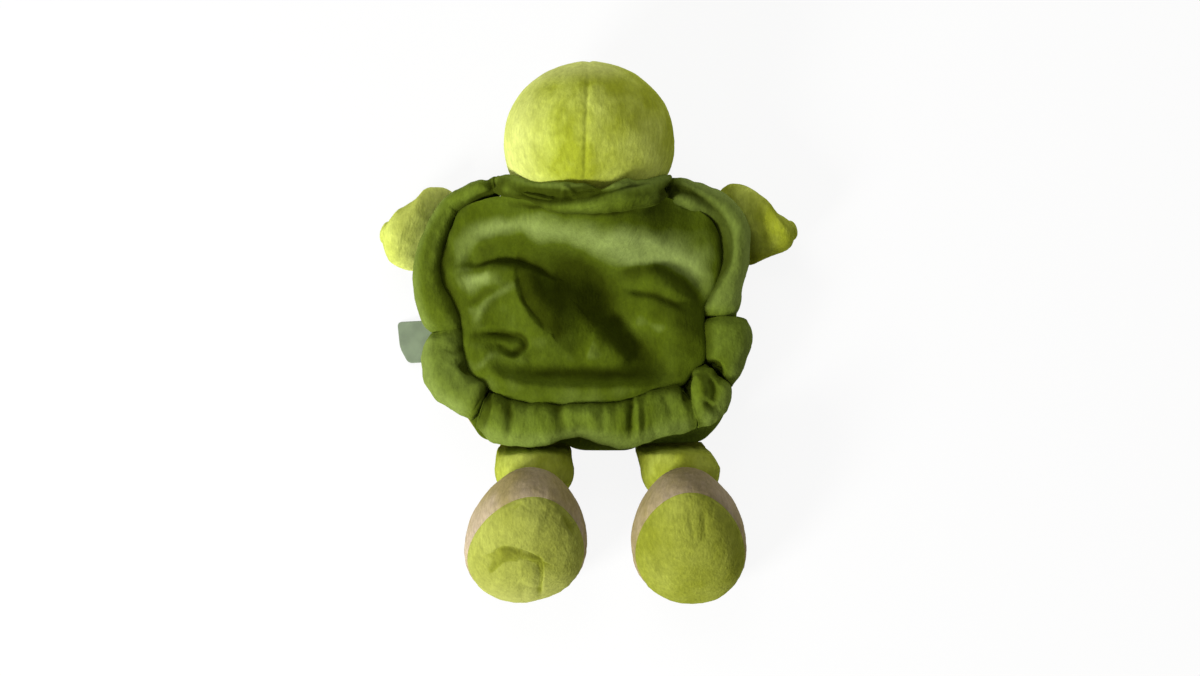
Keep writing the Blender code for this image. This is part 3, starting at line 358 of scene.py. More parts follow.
# Creases of each sole, as for the rim
SOLE_FOLDS = {
    "left": (
        (-1.3, 5.2, 1.1, ((-25.0, -127.3), (-32.4, -124.3), (-40.2, -122.4), (-44.5, -121.6), (-48.6, -122.6))),
        (-0.7, 1.2, 2.6, ((-40.2, -122.9), (-45.0, -127.0), (-53.3, -134.7))),
        (-0.9, 0.9, 3.2, ((-25.2, -127.0), (-24.5, -134.3), (-26.1, -145.0))),
        (1.6, 6, 6, ((-38.0, -132.0), (-31.5, -133.0), (-33.0, -140.0))),
        (-1, 1.3, 1.6, ((-35.0, -96.8), (-39.3, -102.1))),
        (-0.8, 2, 2.5, ((-11.8, -102.8), (-7.5, -110.9))),
        (1.2, 6, 6, ((-50.6, -136.3), (-43.6, -140.7), (-34.9, -140.7))),
        (1.4, 7, 7, ((-46.9, -111.2), (-36.2, -107.0), (-22.9, -111.2))),
    ),
    "right": (
        (-0.5, 1.6, 1.8, ((60.0, -99.1), (61.5, -109.8), (60.4, -118.9))),
        (-0.5, 3, 3, ((36.2, -125.9), (38.8, -136.7))),
        (0.9, 8, 8, ((41.2, -110.9), (54.6, -108.2))),
    ),
}

# Label: middle of its seam, length, and how far it hangs down from level
LABEL_SEAM = (-84.6, -1.5, 7.0)
LABEL_LENGTH = 25.0
LABEL_DROP = math.radians(15)

# Camera: what it looks at, its distance, how far down it looks, and its lens. Lamps: place, power and size
CAMERA_AIM = np.array([0.0064, -0.003, 0.025])
CAMERA_DISTANCE = 1.10
CAMERA_ELEVATION = math.radians(80)
CAMERA_LENS = 59.5
LAMP_AIM = np.array([0.0, 0.0, 0.03])
LAMPS = {"key": ((-0.80, -0.75, 0.62), 20.0, 0.35), "fill": ((-0.35, 0.95, 1.05), 8.0, 1.0)}
STAGE_HALF_SIZE = 3.0

# A lattice of slopes, for the noise
SHUFFLED = np.random.default_rng(11).permutation(256)
SLOPES = np.random.default_rng(12).normal(size=(256, 3))
SLOPES /= np.linalg.norm(SLOPES, axis=1, keepdims=True)


def noise(points, cell, seed=0):
    """Gradient noise: slopes drawn at the corners of a lattice, blended over each cell. About -1 to 1."""
    at = points / np.asarray(cell, float) + 19.7 * seed + 0.37
    corner = np.floor(at).astype(int)
    part = at - corner
    ease = part ** 3 * (part * (part * 6 - 15) + 10)
    total = np.zeros(points.shape[:-1])
    for step in np.ndindex(2, 2, 2):
        here = corner + step
        pick = SHUFFLED[(SHUFFLED[(SHUFFLED[here[..., 0] & 255] + here[..., 1]) & 255] + here[..., 2]) & 255]
        weight = np.prod(np.where(np.array(step) == 1, ease, 1 - ease), axis=-1)
        total += weight * (SLOPES[pick] * (part - step)).sum(-1)
    return total * 1.7


def spline(stations, count, closed=False):
    """A Catmull-Rom curve: each span is the cubic through its two ends that aims along its neighbours."""
    known = np.asarray(stations, float)
    size = len(known)
    place = np.arange(count) * size / count if closed else np.linspace(0, size - 1, count)
    start = place.astype(int) if closed else np.minimum(place.astype(int), size - 2)
    part = (place - start)[:, None]

    def take(step):
        return known[(start + step) % size] if closed else known[np.clip(start + step, 0, size - 1)]

    a, b, c, d = take(-1), take(0), take(1), take(2)
    bend = (2 * a - 5 * b + 4 * c - d) * part ** 2 + (3 * b - a - 3 * c + d) * part ** 3
    return 0.5 * (2 * b + (c - a) * part + bend)


def walk(path):
    """How far along a path each of its points lies."""
    return np.concatenate([[0.0], np.cumsum(np.linalg.norm(np.diff(path, axis=0), axis=1))])


def evened(curve, count, closed=False):
    """The same curve, walked at even steps of its length."""
    path = np.vstack([curve, curve[:1]]) if closed else curve
    walked = walk(path[:, :3])
    steps = np.linspace(0, walked[-1], count + 1)[:-1] if closed else np.linspace(0, walked[-1], count)
    return np.stack([np.interp(steps, walked, path[:, k]) for k in range(path.shape[1])], axis=1)


def unit(vectors):
    return vectors / np.maximum(np.linalg.norm(vectors, axis=-1, keepdims=True), 1e-9)


def step_up(low, high, value):
    """0 below low, 1 above high, and a smooth cubic between."""
    share = np.clip((value - low) / (high - low), 0, 1)
    return share * share * (3 - 2 * share)


def path_distance(x, y, path):
    """Signed distance from each point to a path, positive on its left, and the share walked at the nearest place."""
    ends = np.asarray(path, float)
    lengths = np.linalg.norm(np.diff(ends, axis=0), axis=1)
    walked = walk(ends)
    best = np.full(x.shape, 1e9)
    signed = np.zeros(x.shape)
    share = np.zeros(x.shape)
    for k in range(len(ends) - 1):
        way = (ends[k + 1] - ends[k]) / lengths[k]
        u, v = x - ends[k][0], y - ends[k][1]
        along = np.clip(u * way[0] + v * way[1], 0, lengths[k])
        away = np.hypot(u - along * way[0], v - along * way[1])
        nearer = away < best
        side = np.where(way[0] * v - way[1] * u >= 0, 1.0, -1.0)
        best = np.where(nearer, away, best)
        signed = np.where(nearer, away * side, signed)
        share = np.where(nearer, (walked[k] + along) / walked[-1], share)
    return signed, share


def fold(x, y, height, left, right, path):
    """A fold along a path: a bell across it, with its own width on each side, that fades at both ends."""
    line = spline(path, 24)
    reach = 3 * max(left, right)
    low, high = line.min(axis=0) - reach, line.max(axis=0) + reach
    near = (x > low[0]) & (x < high[0]) & (y > low[1]) & (y < high[1])
    away, share = path_distance(x[near], y[near], line)
    width = np.where(away > 0, left, right)
    fade = 0.35 + 0.65 * step_up(0, 0.2, share) * step_up(0, 0.2, 1 - share)
    total = np.zeros(x.shape)
    total[near] = height * np.exp(-(away / width) ** 2) * fade
    return total


def folds(x, y, table):
    """The sum of all the folds in a table."""
    return sum(fold(x, y, *each) for each in table)


def rounded(corners, radius, count):
    """A closed outline whose corners are eased into curves of about that radius."""
    points = np.array(corners, float)
    back = unit(np.roll(points, 1, axis=0) - points) * radius
    ahead = unit(np.roll(points, -1, axis=0) - points) * radius
    outline = []
    for corner, before, after in zip(points, back, ahead):
        share = np.linspace(0, 1, 9)[:, None]
        outline.append(corner + before * (1 - share) ** 2 + after * share ** 2)
    return evened(np.vstack(outline), count, closed=True)


def inward(outline):
    """The level direction into a closed outline at each of its points."""
    along = unit(np.roll(outline, -1, axis=0) - np.roll(outline, 1, axis=0))
    side = np.stack([along[:, 1], -along[:, 0]], axis=1)
    middle = outline.mean(axis=0)
    return side * np.sign(((middle - outline) * side).sum(axis=1).sum())


def link(name, data):
    """A new object in the scene for a mesh, lamp or camera."""
    piece = bpy.data.objects.new(name, data)
    bpy.context.collection.objects.link(piece)
    return piece


def mesh_piece(name, grid, first=None, last=None, relief=None, floor=False):
    """A closed piece over a grid of points in millimetres: rows of rings, each end closed by a pole.

    Relief is a height in millimetres at each point, along the surface's own normal.
    """
    rows, columns = grid.shape[:2]
    index = np.arange(rows * columns).reshape(rows, columns)
    ahead = np.roll(index, -1, axis=1)
    quads = np.stack([index[:-1], ahead[:-1], ahead[1:], index[1:]], axis=-1).reshape(-1, 4)
    points = [grid.reshape(-1, 3)]
    fans = []
    for pole, row, order in ((first, 0, (1, 0)), (last, rows - 1, (0, 1))):
        pole_index = sum(len(block) for block in points)
        points.append(np.asarray(pole, float).reshape(1, 3))
        pair = (index[row], ahead[row])
        tip = np.full(columns, pole_index)
        fans.append(np.stack([pair[order[0]], pair[order[1]], tip], axis=-1))
    points = np.concatenate(points)
    fans = np.concatenate(fans)
    triangles = np.concatenate([quads[:, :3], quads[:, [0, 2, 3]], fans])
    a, b, c = (points[triangles[:, k]] - points.mean(axis=0) for k in range(3))
    if (a * np.cross(b, c)).sum() < 0:
        quads = quads[:, ::-1]
        fans = fans[:, ::-1]
    mesh = bpy.data.meshes.new(name)
    mesh.vertices.add(len(points))
    mesh.loops.add(quads.size + fans.size)
    mesh.polygons.add(len(quads) + len(fans))
    mesh.loops.foreach_set("vertex_index", np.concatenate([quads.ravel(), fans.ravel()]).astype(np.int32))
    starts = np.concatenate([np.arange(len(quads)) * 4, quads.size + np.arange(len(fans)) * 3])
    mesh.polygons.foreach_set("loop_start", starts.astype(np.int32))
    mesh.vertices.foreach_set("co", (points * MM).ravel().astype(np.float32))
    mesh.update(calc_edges=True)
    if relief is not None:
        normals = np.empty(len(points) * 3, np.float32)
        mesh.vertex_normals.foreach_get("vector", normals)
        points = points + normals.reshape(-1, 3) * relief(points)[:, None]
    if floor:
        points[:, 2] = np.maximum(points[:, 2], 0.05)
    mesh.vertices.foreach_set("co", (points * MM).ravel().astype(np.float32))
    mesh.update(calc_edges=True)
    mesh.validate()
    mesh.shade_smooth()
    return link(name, mesh)


def pile(points, depth=1.0):
    """Short plush pile: two fine grains drawn out from head to tail, over a soft unevenness of the filling."""
    tufts = noise(points, (1.3, 2.6, 1.3), 3) * 0.10 + noise(points, (0.7, 1.2, 0.7), 4) * 0.08
    lumps = noise(points, 16.0, 5) * 0.45 + noise(points, 7.0, 6) * 0.12
    return (tufts + lumps) * depth


def tag(piece, name, values):
    """Keeps a number at each vertex for the piece's material."""
    layer = piece.data.attributes.new(name, "FLOAT", "POINT")
    layer.data.foreach_set("value", np.asarray(values, np.float32))


def places(piece):
    """The piece's points in millimetres."""
    flat = np.empty(len(piece.data.vertices) * 3, np.float32)
    piece.data.vertices.foreach_get("co", flat)
    return flat.reshape(-1, 3).astype(float) / MM


def dress(piece, finish, body, replaced):
    """Gives a piece its material and body, and hides the CAD nodes that it stands for."""
    piece.data.materials.append(finish)
    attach(piece, body)
    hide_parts(*replaced)


class TurtleSizes(bpy.types.PropertyGroup):
    """Sizes of the fabric that a user would change."""
    pile: FloatProperty(name="Pile", description="Depth of the plush pile's relief, as a share of the usual",
                        default=1.0, min=0.0, max=2.0, subtype="FACTOR")
    seam_depth: FloatProperty(name="Seam depth", description="How far a seam is drawn in", default=0.0012,
                              min=0.0, max=0.003, unit="LENGTH")
    fold_depth: FloatProperty(name="Fold depth", description="Depth of the shell's folds, as a share of the usual",
                              default=1.0, min=0.0, max=1.5, subtype="FACTOR")


class TurtleColours(bpy.types.PropertyGroup):
    """Colours of the fabrics, linear."""
    lime: FloatVectorProperty(name="Lime", description="Plush of head, arms and legs", subtype="COLOR", size=3,
                              default=(0.455, 0.535, 0.040), min=0.0, max=1.0)
    sole: FloatVectorProperty(name="Sole", description="Plush of the foot soles", subtype="COLOR", size=3,
                              default=(0.262, 0.300, 0.020), min=0.0, max=1.0)
    shell: FloatVectorProperty(name="Shell", description="Plush of the shell and its rim", subtype="COLOR", size=3,
                               default=(0.118, 0.172, 0.008), min=0.0, max=1.0)
    beige: FloatVectorProperty(name="Beige", description="Plush of the foot uppers and belly", subtype="COLOR",
                               size=3, default=(0.400, 0.335, 0.110), min=0.0, max=1.0)
    label: FloatVectorProperty(name="Label", description="Satin of the care label", subtype="COLOR", size=3,
                               default=(0.155, 0.200, 0.118), min=0.0, max=1.0)


def sizes():
    return bpy.context.scene.turtle_sizes


def colours():
    return bpy.context.scene.turtle_colours


class Nodes:
    """A short hand for the node tree of a new material or world, round its own shader node."""

    def __init__(self, owner, shader="Principled BSDF"):
        owner.use_nodes = True
        self.owner = owner
        self.tree = owner.node_tree
        self.shader = self.tree.nodes[shader]

    def add(self, kind, **settings):
        node = self.tree.nodes.new(kind)
        for key, value in settings.items():
            if key in node.inputs:
                node.inputs[key].default_value = value
            else:
                setattr(node, key, value)
        return node

    def link(self, source, target):
        self.tree.links.new(source, target)

    def surface(self, **values):
        """Sets the shader's own sockets, with _ for a space: a number, a colour, or the output that feeds it."""
        for key, value in values.items():
            socket = self.shader.inputs[key.replace("_", " ")]
            if hasattr(value, "links"):
                self.link(value, socket)
            else:
                socket.default_value = value

    def bumped(self, height, strength, distance):
        """Turns a height into the shader's bump."""
        bump = self.add("ShaderNodeBump", Strength=strength, Distance=distance)
        self.link(height, bump.inputs["Height"])
        self.link(bump.outputs["Normal"], self.shader.inputs["Normal"])

    def position(self):
        return self.add("ShaderNodeTexCoord").outputs["Object"]

    def noise(self, scale, stretch=(1.0, 1.0, 1.0), detail=2.0, rough=0.5):
        """Noise on object coordinates, with so many cells a metre, drawn out where stretch is under 1."""
        mapping = self.add("ShaderNodeMapping", Scale=stretch)
        self.link(self.position(), mapping.inputs["Vector"])
        made = self.add("ShaderNodeTexNoise", Scale=scale, Detail=detail, Roughness=rough)
        self.link(mapping.outputs["Vector"], made.inputs["Vector"])
        return made.outputs["Fac"]

    def ramp(self, source, low, high, start=0.0, end=1.0):
        """A source's span from low to high becomes start to end."""
        made = self.add("ShaderNodeMapRange")
        for socket, value in zip(("From Min", "From Max", "To Min", "To Max"), (low, high, start, end)):
            made.inputs[socket].default_value = value
        self.link(source, made.inputs["Value"])
        return made.outputs["Result"]

    def mix(self, share, first, second, blend="MIX"):
        """A mix of two colours or outputs; share is a number or an output."""
        made = self.add("ShaderNodeMix", data_type="RGBA", blend_type=blend)
        factor, a, b = made.inputs[0], made.inputs[6], made.inputs[7]
        for socket, value in ((factor, share), (a, first), (b, second)):
            if hasattr(value, "links"):
                self.link(value, socket)
            elif isinstance(value, float):
                socket.default_value = value
            else:
                socket.default_value = (*value, 1.0)
        return made.outputs[2]

    def attribute(self, name):
        return self.add("ShaderNodeAttribute", attribute_name=name).outputs["Fac"]

    def over_paper(self, strength, paper, output):
        """Shows white paper instead of the shader to the camera and in gloss, by that strength."""
        rays = self.add("ShaderNodeLightPath")
        seen = self.add("ShaderNodeMath", operation="MAXIMUM")
        self.link(rays.outputs["Is Camera Ray"], seen.inputs[0])
        self.link(rays.outputs["Is Glossy Ray"], seen.inputs[1])
        share = self.add("ShaderNodeMath", operation="MULTIPLY")
        share.inputs[1].default_value = strength
        blend = self.add("ShaderNodeMixShader")
        self.link(seen.outputs[0], share.inputs[0])
        for source, socket in zip((share, self.shader, self.add(paper)), blend.inputs):
            self.link(source.outputs[0], socket)
        self.link(blend.outputs[0], self.tree.nodes[output].inputs["Surface"])


def tinted(colour, factor, tint=(1.0, 1.0, 1.0)):
    """A colour made lighter or darker, each channel by the factor and its own tint."""
    return tuple(min(channel * factor * part, 1.0) for channel, part in zip(colour, tint))


def plush(name, colour, patches=0.5, painted_dimming=0.0):
    """Short-pile plush: brushed patches a few centimetres across, drawn-out tufts, sheen, and painted light and
    painted shade taken from each piece's own numbers.
    """
    nodes = Nodes(bpy.data.materials.new(name))
    light = tinted(colour, 1.35, (1.03, 0.98, 2.6))
    dark = tinted(colour, 0.64, (1.0, 0.97, 0.3))
    broad = nodes.ramp(nodes.noise(42.0, (1.0, 0.7, 1.0), 3.0, 0.55), 0.36, 0.66)
    strokes = nodes.ramp(nodes.noise(620.0, (1.0, 0.22, 1.0), 3.0, 0.6), 0.34, 0.66)
    tufts = nodes.ramp(nodes.noise(1150.0, (1.0, 0.55, 1.0), 2.0, 0.6), 0.25, 0.75)
    base = nodes.mix(nodes.ramp(broad, 0.0, 1.0, 0.5 - patches / 2, 0.5 + patches / 2), dark, light)
    base = nodes.mix(nodes.ramp(strokes, 0.0, 1.0, 0.26, 0.0), base, tinted(colour, 0.45))
    base = nodes.mix(nodes.ramp(tufts, 0.0, 1.0, 0.16, 0.0), base, tinted(colour, 0.35))
    # Painted shade spread evenly over the whole piece, by this share
    if painted_dimming > 0:
        base = nodes.mix(painted_dimming, base, tinted(colour, 0.50, (1.0, 0.98, 0.5)))
    # Painted light: the vertex number mixes towards a lighter, paler colour where the lamps fall
    base = nodes.mix(nodes.attribute("lift"), base, tinted(colour, 1.95, (1.04, 0.92, 5.0)))
    # Painted shade: the vertex number mixes towards a dark colour in creases, hollows and on sides turned from the
    # lamps
    base = nodes.mix(nodes.attribute("crease"), base, tinted(colour, 0.24, (1.0, 0.92, 0.3)))
    mottle = nodes.ramp(nodes.noise(420.0, (1.0, 0.45, 1.0), 4.0, 0.75), 0.28, 0.72, 0.78, 1.18)
    shade = nodes.add("ShaderNodeCombineColor")
    for channel in ("Red", "Green", "Blue"):
        nodes.link(mottle, shade.inputs[channel])
    base = nodes.mix(1.0, base, shade.outputs["Color"], "MULTIPLY")
    nodes.bumped(nodes.noise(900.0, (1.0, 0.5, 1.0), 3.0, 0.65), 0.38, 0.0006)
    nodes.surface(Base_Color=base, Roughness=0.95, Specular_IOR_Level=0.05, Sheen_Weight=0.16, Sheen_Roughness=0.45,
                  Sheen_Tint=(*tinted(colour, 1.6), 1.0))
    return nodes.owner


def satin(name, colour):
    """Woven satin tape: fine warp lines across a soft gloss."""
    nodes = Nodes(bpy.data.materials.new(name))
    warp = nodes.add("ShaderNodeTexWave", Scale=900.0, Distortion=0.6, Detail=1.0)
    nodes.link(nodes.position(), warp.inputs["Vector"])
    broad = nodes.ramp(nodes.noise(120.0), 0.3, 0.7)
    base = nodes.mix(broad, tinted(colour, 0.85), tinted(colour, 1.15))
    base = nodes.mix(nodes.ramp(warp.outputs["Fac"], 0.0, 1.0, 0.12, 0.0), base, tinted(colour, 0.5))
    nodes.bumped(warp.outputs["Fac"], 0.3, 0.0001)
    nodes.surface(Base_Color=base, Roughness=0.42, Sheen_Weight=0.2)
    return nodes.owner


def shiny(name, colour, roughness):
    """A hard or waxed dark surface with faint scuffs."""
    nodes = Nodes(bpy.data.materials.new(name))
    scuffs = nodes.ramp(nodes.noise(600.0, detail=4.0), 0.4, 0.7)
    nodes.surface(Base_Color=nodes.mix(scuffs, colour, tinted(colour, 1.8)),
                  Roughness=nodes.ramp(scuffs, 0.0, 1.0, roughness, roughness + 0.08))
    return nodes.owner


# Finishes: how each is made, its colour, by name where the user can change it, and its own settings
FINISHES = {
    "lime_plush": (plush, "lime", (0.75,)),
    "sole_plush": (plush, "sole", (0.45,)),
    "shell_plush": (plush, "shell", (0.55,)),
    # The carapace is the shell's plush with painted shade over all of it
    "carapace_plush": (plush, "shell", (0.6, 0.7)),
    "beige_plush": (plush, "beige", (0.4,)),
    "label_satin": (satin, "label", ()),
    "eye_plastic": (shiny, (0.008, 0.008, 0.008), (0.12,)),
    "mouth_thread": (shiny, (0.012, 0.011, 0.010), (0.6,)),
}
MADE = {}


def finish(name):
    """The finish of that name, made the first time it is asked for, and again if an undo took it away."""
    materials = bpy.data.materials
    if MADE.get(name, "") not in materials:
        maker, colour, settings = FINISHES[name]
        shade = tuple(getattr(colours(), colour)) if isinstance(colour, str) else colour
        MADE[name] = maker(name, shade, *settings).name
    return materials[MADE[name]]


def circle(columns):
    """Even angles once round, without the last, which is the first again."""
    return np.linspace(0, 2 * math.pi, columns, endpoint=False)


def shrunk(ring, middle, count):
    """Rings between a ring and its middle, the outermost first, which close a flat face."""
    return middle + (ring[None] - middle) * np.linspace(1, 0, count)[1:-1, None, None]


def ball_grid(middle, radius, rows, columns):
    """A ball about its own X axis: rings at even angles from one pole to the other."""
    lean = np.linspace(0, math.pi, rows + 2)[1:-1, None]
    turn = circle(columns)[None, :]
    parts = np.broadcast_arrays(np.cos(lean), np.sin(lean) * np.cos(turn), np.sin(lean) * np.sin(turn))
    grid = middle + radius * np.stack(parts, axis=-1)
    return grid, middle + np.array([radius, 0, 0]), middle - np.array([radius, 0, 0])


def make_head():
    """The head's ball: two half covers drawn together along a seam from nape to face, over a firm filling."""
    depth = sizes().seam_depth / MM

    def relief(points):
        forward = points[:, 1] - HEAD_MIDDLE[1]
        away = points[:, 0] - (HEAD_MIDDLE[0] - 1.2 + HEAD_SEAM_LEAN * forward)
        seam = -depth * 0.42 * np.exp(-away ** 2) + 0.25 * np.exp(-((np.abs(away) - 4.0) / 3.0) ** 2)
        pucker = noise(points, (4.0, 3.2, 3.2), 8) * 0.35 * np.exp(-(away / 5.0) ** 2)
        return seam + pucker + pile(points, sizes().pile)

    ball = ball_grid(HEAD_MIDDLE, HEAD_RADIUS, 230, 300)
    grid, first, last = (HEAD_MIDDLE + (points - HEAD_MIDDLE) * HEAD_STRETCH for points in ball)
    head = mesh_piece("head_plush", grid, first, last, relief, floor=True)
    # Painted highlight on the left side and top of the head, where the lamps fall
    aim = unit(places(head) - HEAD_MIDDLE)
    crown_highlight = 0.30 * step_up(0.45, 0.75, aim[:, 1]) * step_up(-0.55, -0.15, -aim[:, 0])
    tag(head, "lift", 0.30 * step_up(0.35, 0.9, -aim[:, 0]) + crown_highlight)
    replaced = ("head_cover_left", "head_cover_right", "head_filling")
    dress(head, finish("lime_plush"), "head", replaced)


def make_neck():
    """The stuffed stub behind the head, a profile turned about the head's own axis."""
    profile = evened(spline(NECK, 60), 24)
    turn = circle(80)
    ring = np.stack([np.cos(turn), 0 * turn, np.sin(turn)], axis=-1)
    grid = HEAD_MIDDLE + profile[:, :1, None] * ring[None] - FORWARD * profile[:, 1:, None]
    back = HEAD_MIDDLE - FORWARD * NECK[0][1]
    front = HEAD_MIDDLE - FORWARD * NECK_FRONT
    neck = mesh_piece("neck_plush", grid, back, front, lambda points: pile(points, 0.5))
    dress(neck, finish("lime_plush"), "neck", ("neck",))


def make_eye(side, sign):
    """A shallow dome seated on the head's ball: a quarter circle turned about the direction that it faces."""
    toward = unit(EYE_DIRECTION * np.array([sign, 1.0, 1.0]))
    across = unit(np.cross(toward, UP))
    up = np.cross(toward, across)
    seat = HEAD_MIDDLE + toward * (HEAD_RADIUS * HEAD_STRETCH - 0.3)
    turn = circle(48)[:, None]
    rise = np.linspace(0, math.pi / 2, 18)[:-1]
    radius = np.concatenate([[2.5, 4.4], EYE_RADIUS * np.cos(rise)])
    height = np.concatenate([[0.1, 0.2], EYE_EDGE + EYE_DOME * np.sin(rise)])
    ring = across * np.cos(turn) + up * np.sin(turn)
    grid = seat + radius[:, None, None] * ring[None] + toward * height[:, None, None]
    eye = mesh_piece("eye_dome_" + side, grid, seat + toward * 0.1, seat + toward * (EYE_EDGE + EYE_DOME))
    dress(eye, finish("eye_plastic"), "head", ("eye_" + side,))


def tube(path, radius, sides, rows):
    """A round thread along a path: rings square to the path, with rounded ends."""
    line = evened(spline(path, 200), rows)
    along = unit(np.gradient(line, axis=0))
    side = unit(np.cross(along, UP))
    up = np.cross(side, along)
    ends = np.sqrt(np.clip(1 - np.linspace(-1, 1, rows) ** 40, 0.02, 1))
    turn = circle(sides)[None, :, None]
    ring = side[:, None] * np.cos(turn) + up[:, None] * np.sin(turn)
    return line[:, None] + ring * (radius * ends)[:, None, None], line[0], line[-1]


def make_mouth():
    """A line of thread sewn along the ball in a shallow smile, twisted like a rope."""
    toward = unit(MOUTH_DIRECTION)
    above = unit(FORWARD - toward * toward[1])
    share = np.linspace(-1, 1, 15)[:, None]
    path = toward * 47.0 + RIGHT * MOUTH_HALF_WIDTH * share + above * MOUTH_SMILE * share ** 2
    path = HEAD_MIDDLE + unit(path) * (HEAD_RADIUS * HEAD_STRETCH + 0.35)
    grid, first, last = tube(path, THREAD_RADIUS, 12, 160)
    twist = np.sin(np.linspace(0, 2 * math.pi * THREAD_TURNS, 160)[:, None] + 2 * circle(12))
    line = grid.mean(axis=1, keepdims=True)
    grid = line + (grid - line) * (1 + 0.14 * twist[..., None])
    mouth = mesh_piece("mouth_thread", grid, first, last, floor=True)
    dress(mouth, finish("mouth_thread"), "head", ("mouth_stitch",))


def ribbon_grid(edges, rows, columns, cap, shoulder):
    """A padded roll between two edges in space, as a superellipse section that is carried along the path.

    An edge row holds the section's middle, its half width as a vector and its half depth. The section sinks a
    little towards both ends, where a blunt cap closes it.
    """
    path = evened(spline(edges, 400), rows)
    walked = walk(path[:, :3])
    from_end = np.minimum(walked, walked[-1] - walked)
    full = 1 - 0.2 * np.exp(-(from_end / shoulder) ** 2)
    along = unit(np.gradient(path[:, :3], axis=0))
    step = np.linspace(0, 1, 9)[1:-1]
    blunt = (1 - step ** 2.6) ** (1 / 2.6)
    more = ((len(step), len(step)), (0, 0))
    path, along = (np.pad(rows_of, more, "edge") for rows_of in (path, along))
    path[:len(step), :3] -= along[0] * cap * step[::-1, None]
    path[-len(step):, :3] += along[-1] * cap * step[:, None]
    scale = np.concatenate([full[0] * blunt[::-1], full, full[-1] * blunt])[:, None]
    turn = circle(columns)[None, :, None]
    flat, rise = (np.sign(part) * np.abs(part) ** 0.84 for part in (np.cos(turn), np.sin(turn)))
    wide = (path[:, 3:6] * (0.25 + 0.75 * scale ** 0.5))[:, None]
    tall = (unit(np.cross(along, path[:, 3:6])) * path[:, 6:7] * scale)[:, None]
    tall = tall * np.sign(tall[..., 2:3] + 1e-9)
    grid = path[:, None, :3] + wide * flat + tall * rise
    return grid, path[0, :3] - along[0] * 0.2, path[-1, :3] + along[-1] * 0.2


def rim_edges(stations):
    """The rows that a level roll gives to ribbon_grid."""
    inner, outer, low, high = np.split(np.array(stations, float), (2, 4, 5), axis=1)
    outer = outer + unit(outer - inner) * 0.6
    return np.hstack([(inner + outer) / 2, (low + high) / 2, (inner - outer) / 2, 0 * low, (high - low) / 2])


def rim_relief(x, y, z):
    """Height of the rim's folds: full on top, and a third of it at the sides."""
    return folds(x, y, RIM_FOLDS) * (0.33 + 0.67 * step_up(24.0, 36.0, z))


def rim_roll(name, node, edges, fill, crumple, rows, roll_painted_light=0.0, roll_painted_shade=0.0):
    """One roll of the rim, with its folds, a crumpled unevenness and painted shade in its creases.

    It has painted shade along its sewn inner edge and at both ends, and a painted highlight along the top of its
    outer side.
    """
    grid, first, last = ribbon_grid(edges, rows, ROLL_COLUMNS, ROLL_CAP, ROLL_SHOULDER)
    turn = circle(ROLL_COLUMNS)
    row = np.arange(len(grid))[:, None]
    end = np.minimum(row, row[::-1]) / 9.0
    # Painted shade along the inner edge, where the roll meets the carapace, and at both tucked ends
    painted_seam_shade = 0.75 * step_up(0.35, 1.0, np.cos(turn)) + 0.45 * np.exp(-end ** 2)
    # Painted highlight along the top of the outer side, plus the roll's own painted light
    light = 0.30 * step_up(0.2, 0.9, -np.cos(turn)) * step_up(-0.6, 0.2, np.sin(turn)) * step_up(0.5, 2.5, end)
    light = light + roll_painted_light * step_up(0.4, 3.0, end)

    def relief(points):
        uneven = noise(points, (9.0, 9.0, 16.0), 21) * 0.8 + noise(points, (4.6, 6.5, 9.0), 22) * 0.35
        return rim_relief(*points.T) + uneven * crumple + pile(points, sizes().pile)

    x, y, z = grid.reshape(-1, 3).T
    roll = mesh_piece(name + "_plush", grid, first, last, relief)
    # Painted shade in the folds' hollows, in the rim's hollows and over the whole roll
    depth = np.clip(-rim_relief(x, y, z) / 3.6, 0, 1) + folds(x, y, RIM_SHADES) + roll_painted_shade
    tag(roll, "crease", np.clip(np.concatenate([depth + painted_seam_shade.ravel(), [1, 1]]), 0, 0.9))
    tag(roll, "lift", np.concatenate([light.ravel(), [0, 0]]))
    dress(roll, finish("shell_plush"), "trunk", (node,))


def make_rim():
    """The puffy rim of the shell: six rolls that meet where the fabric is tucked."""
    for node, stations in RIM_ROLLS.items():
        rim_roll(node, node, rim_edges(stations), 0.5, *ROLL_FINISH[node])


def make_collar():
    """The rolled neck edge of the shell, round the head's nape."""
    rows = np.array(COLLAR, float)
    low, high = rows[:, :3] + 1.5 * UP, rows[:, 3:]
    depth = np.full((len(rows), 1), COLLAR_THICKNESS / 2)
    rim_roll("collar", "collar_roll", np.hstack([(low + high) / 2, (low - high) / 2, depth]), 0.4, 0.8, 200)


def carapace_height(x, y):
    """Height of the slack panel: a slope down from the collar to a pool of folds."""
    front = FRONT_LEVEL + COLLAR_RISE * np.exp(-(np.abs(x) / RISE_HALF_WIDTH) ** 2.6)
    return POOL_LEVEL + (front - POOL_LEVEL) * step_up(*CLIMB, y) + sizes().fold_depth * folds(x, y, FOLDS)


def painted_light_and_shade(x, y):
    """Painted light and shade of the carapace, from -1 for the darkest painted shade to 1 for the brightest painted
    light.
    """
    spots = np.stack([x, y, 0 * x], axis=1)
    x = x + 1.6 * noise(spots, 9.0, 61)
    y = y + 1.6 * noise(spots, 9.0, 62)
    return np.clip(1.1 * folds(x, y, PAINTED_LIGHT_AND_SHADE), -1, 1)


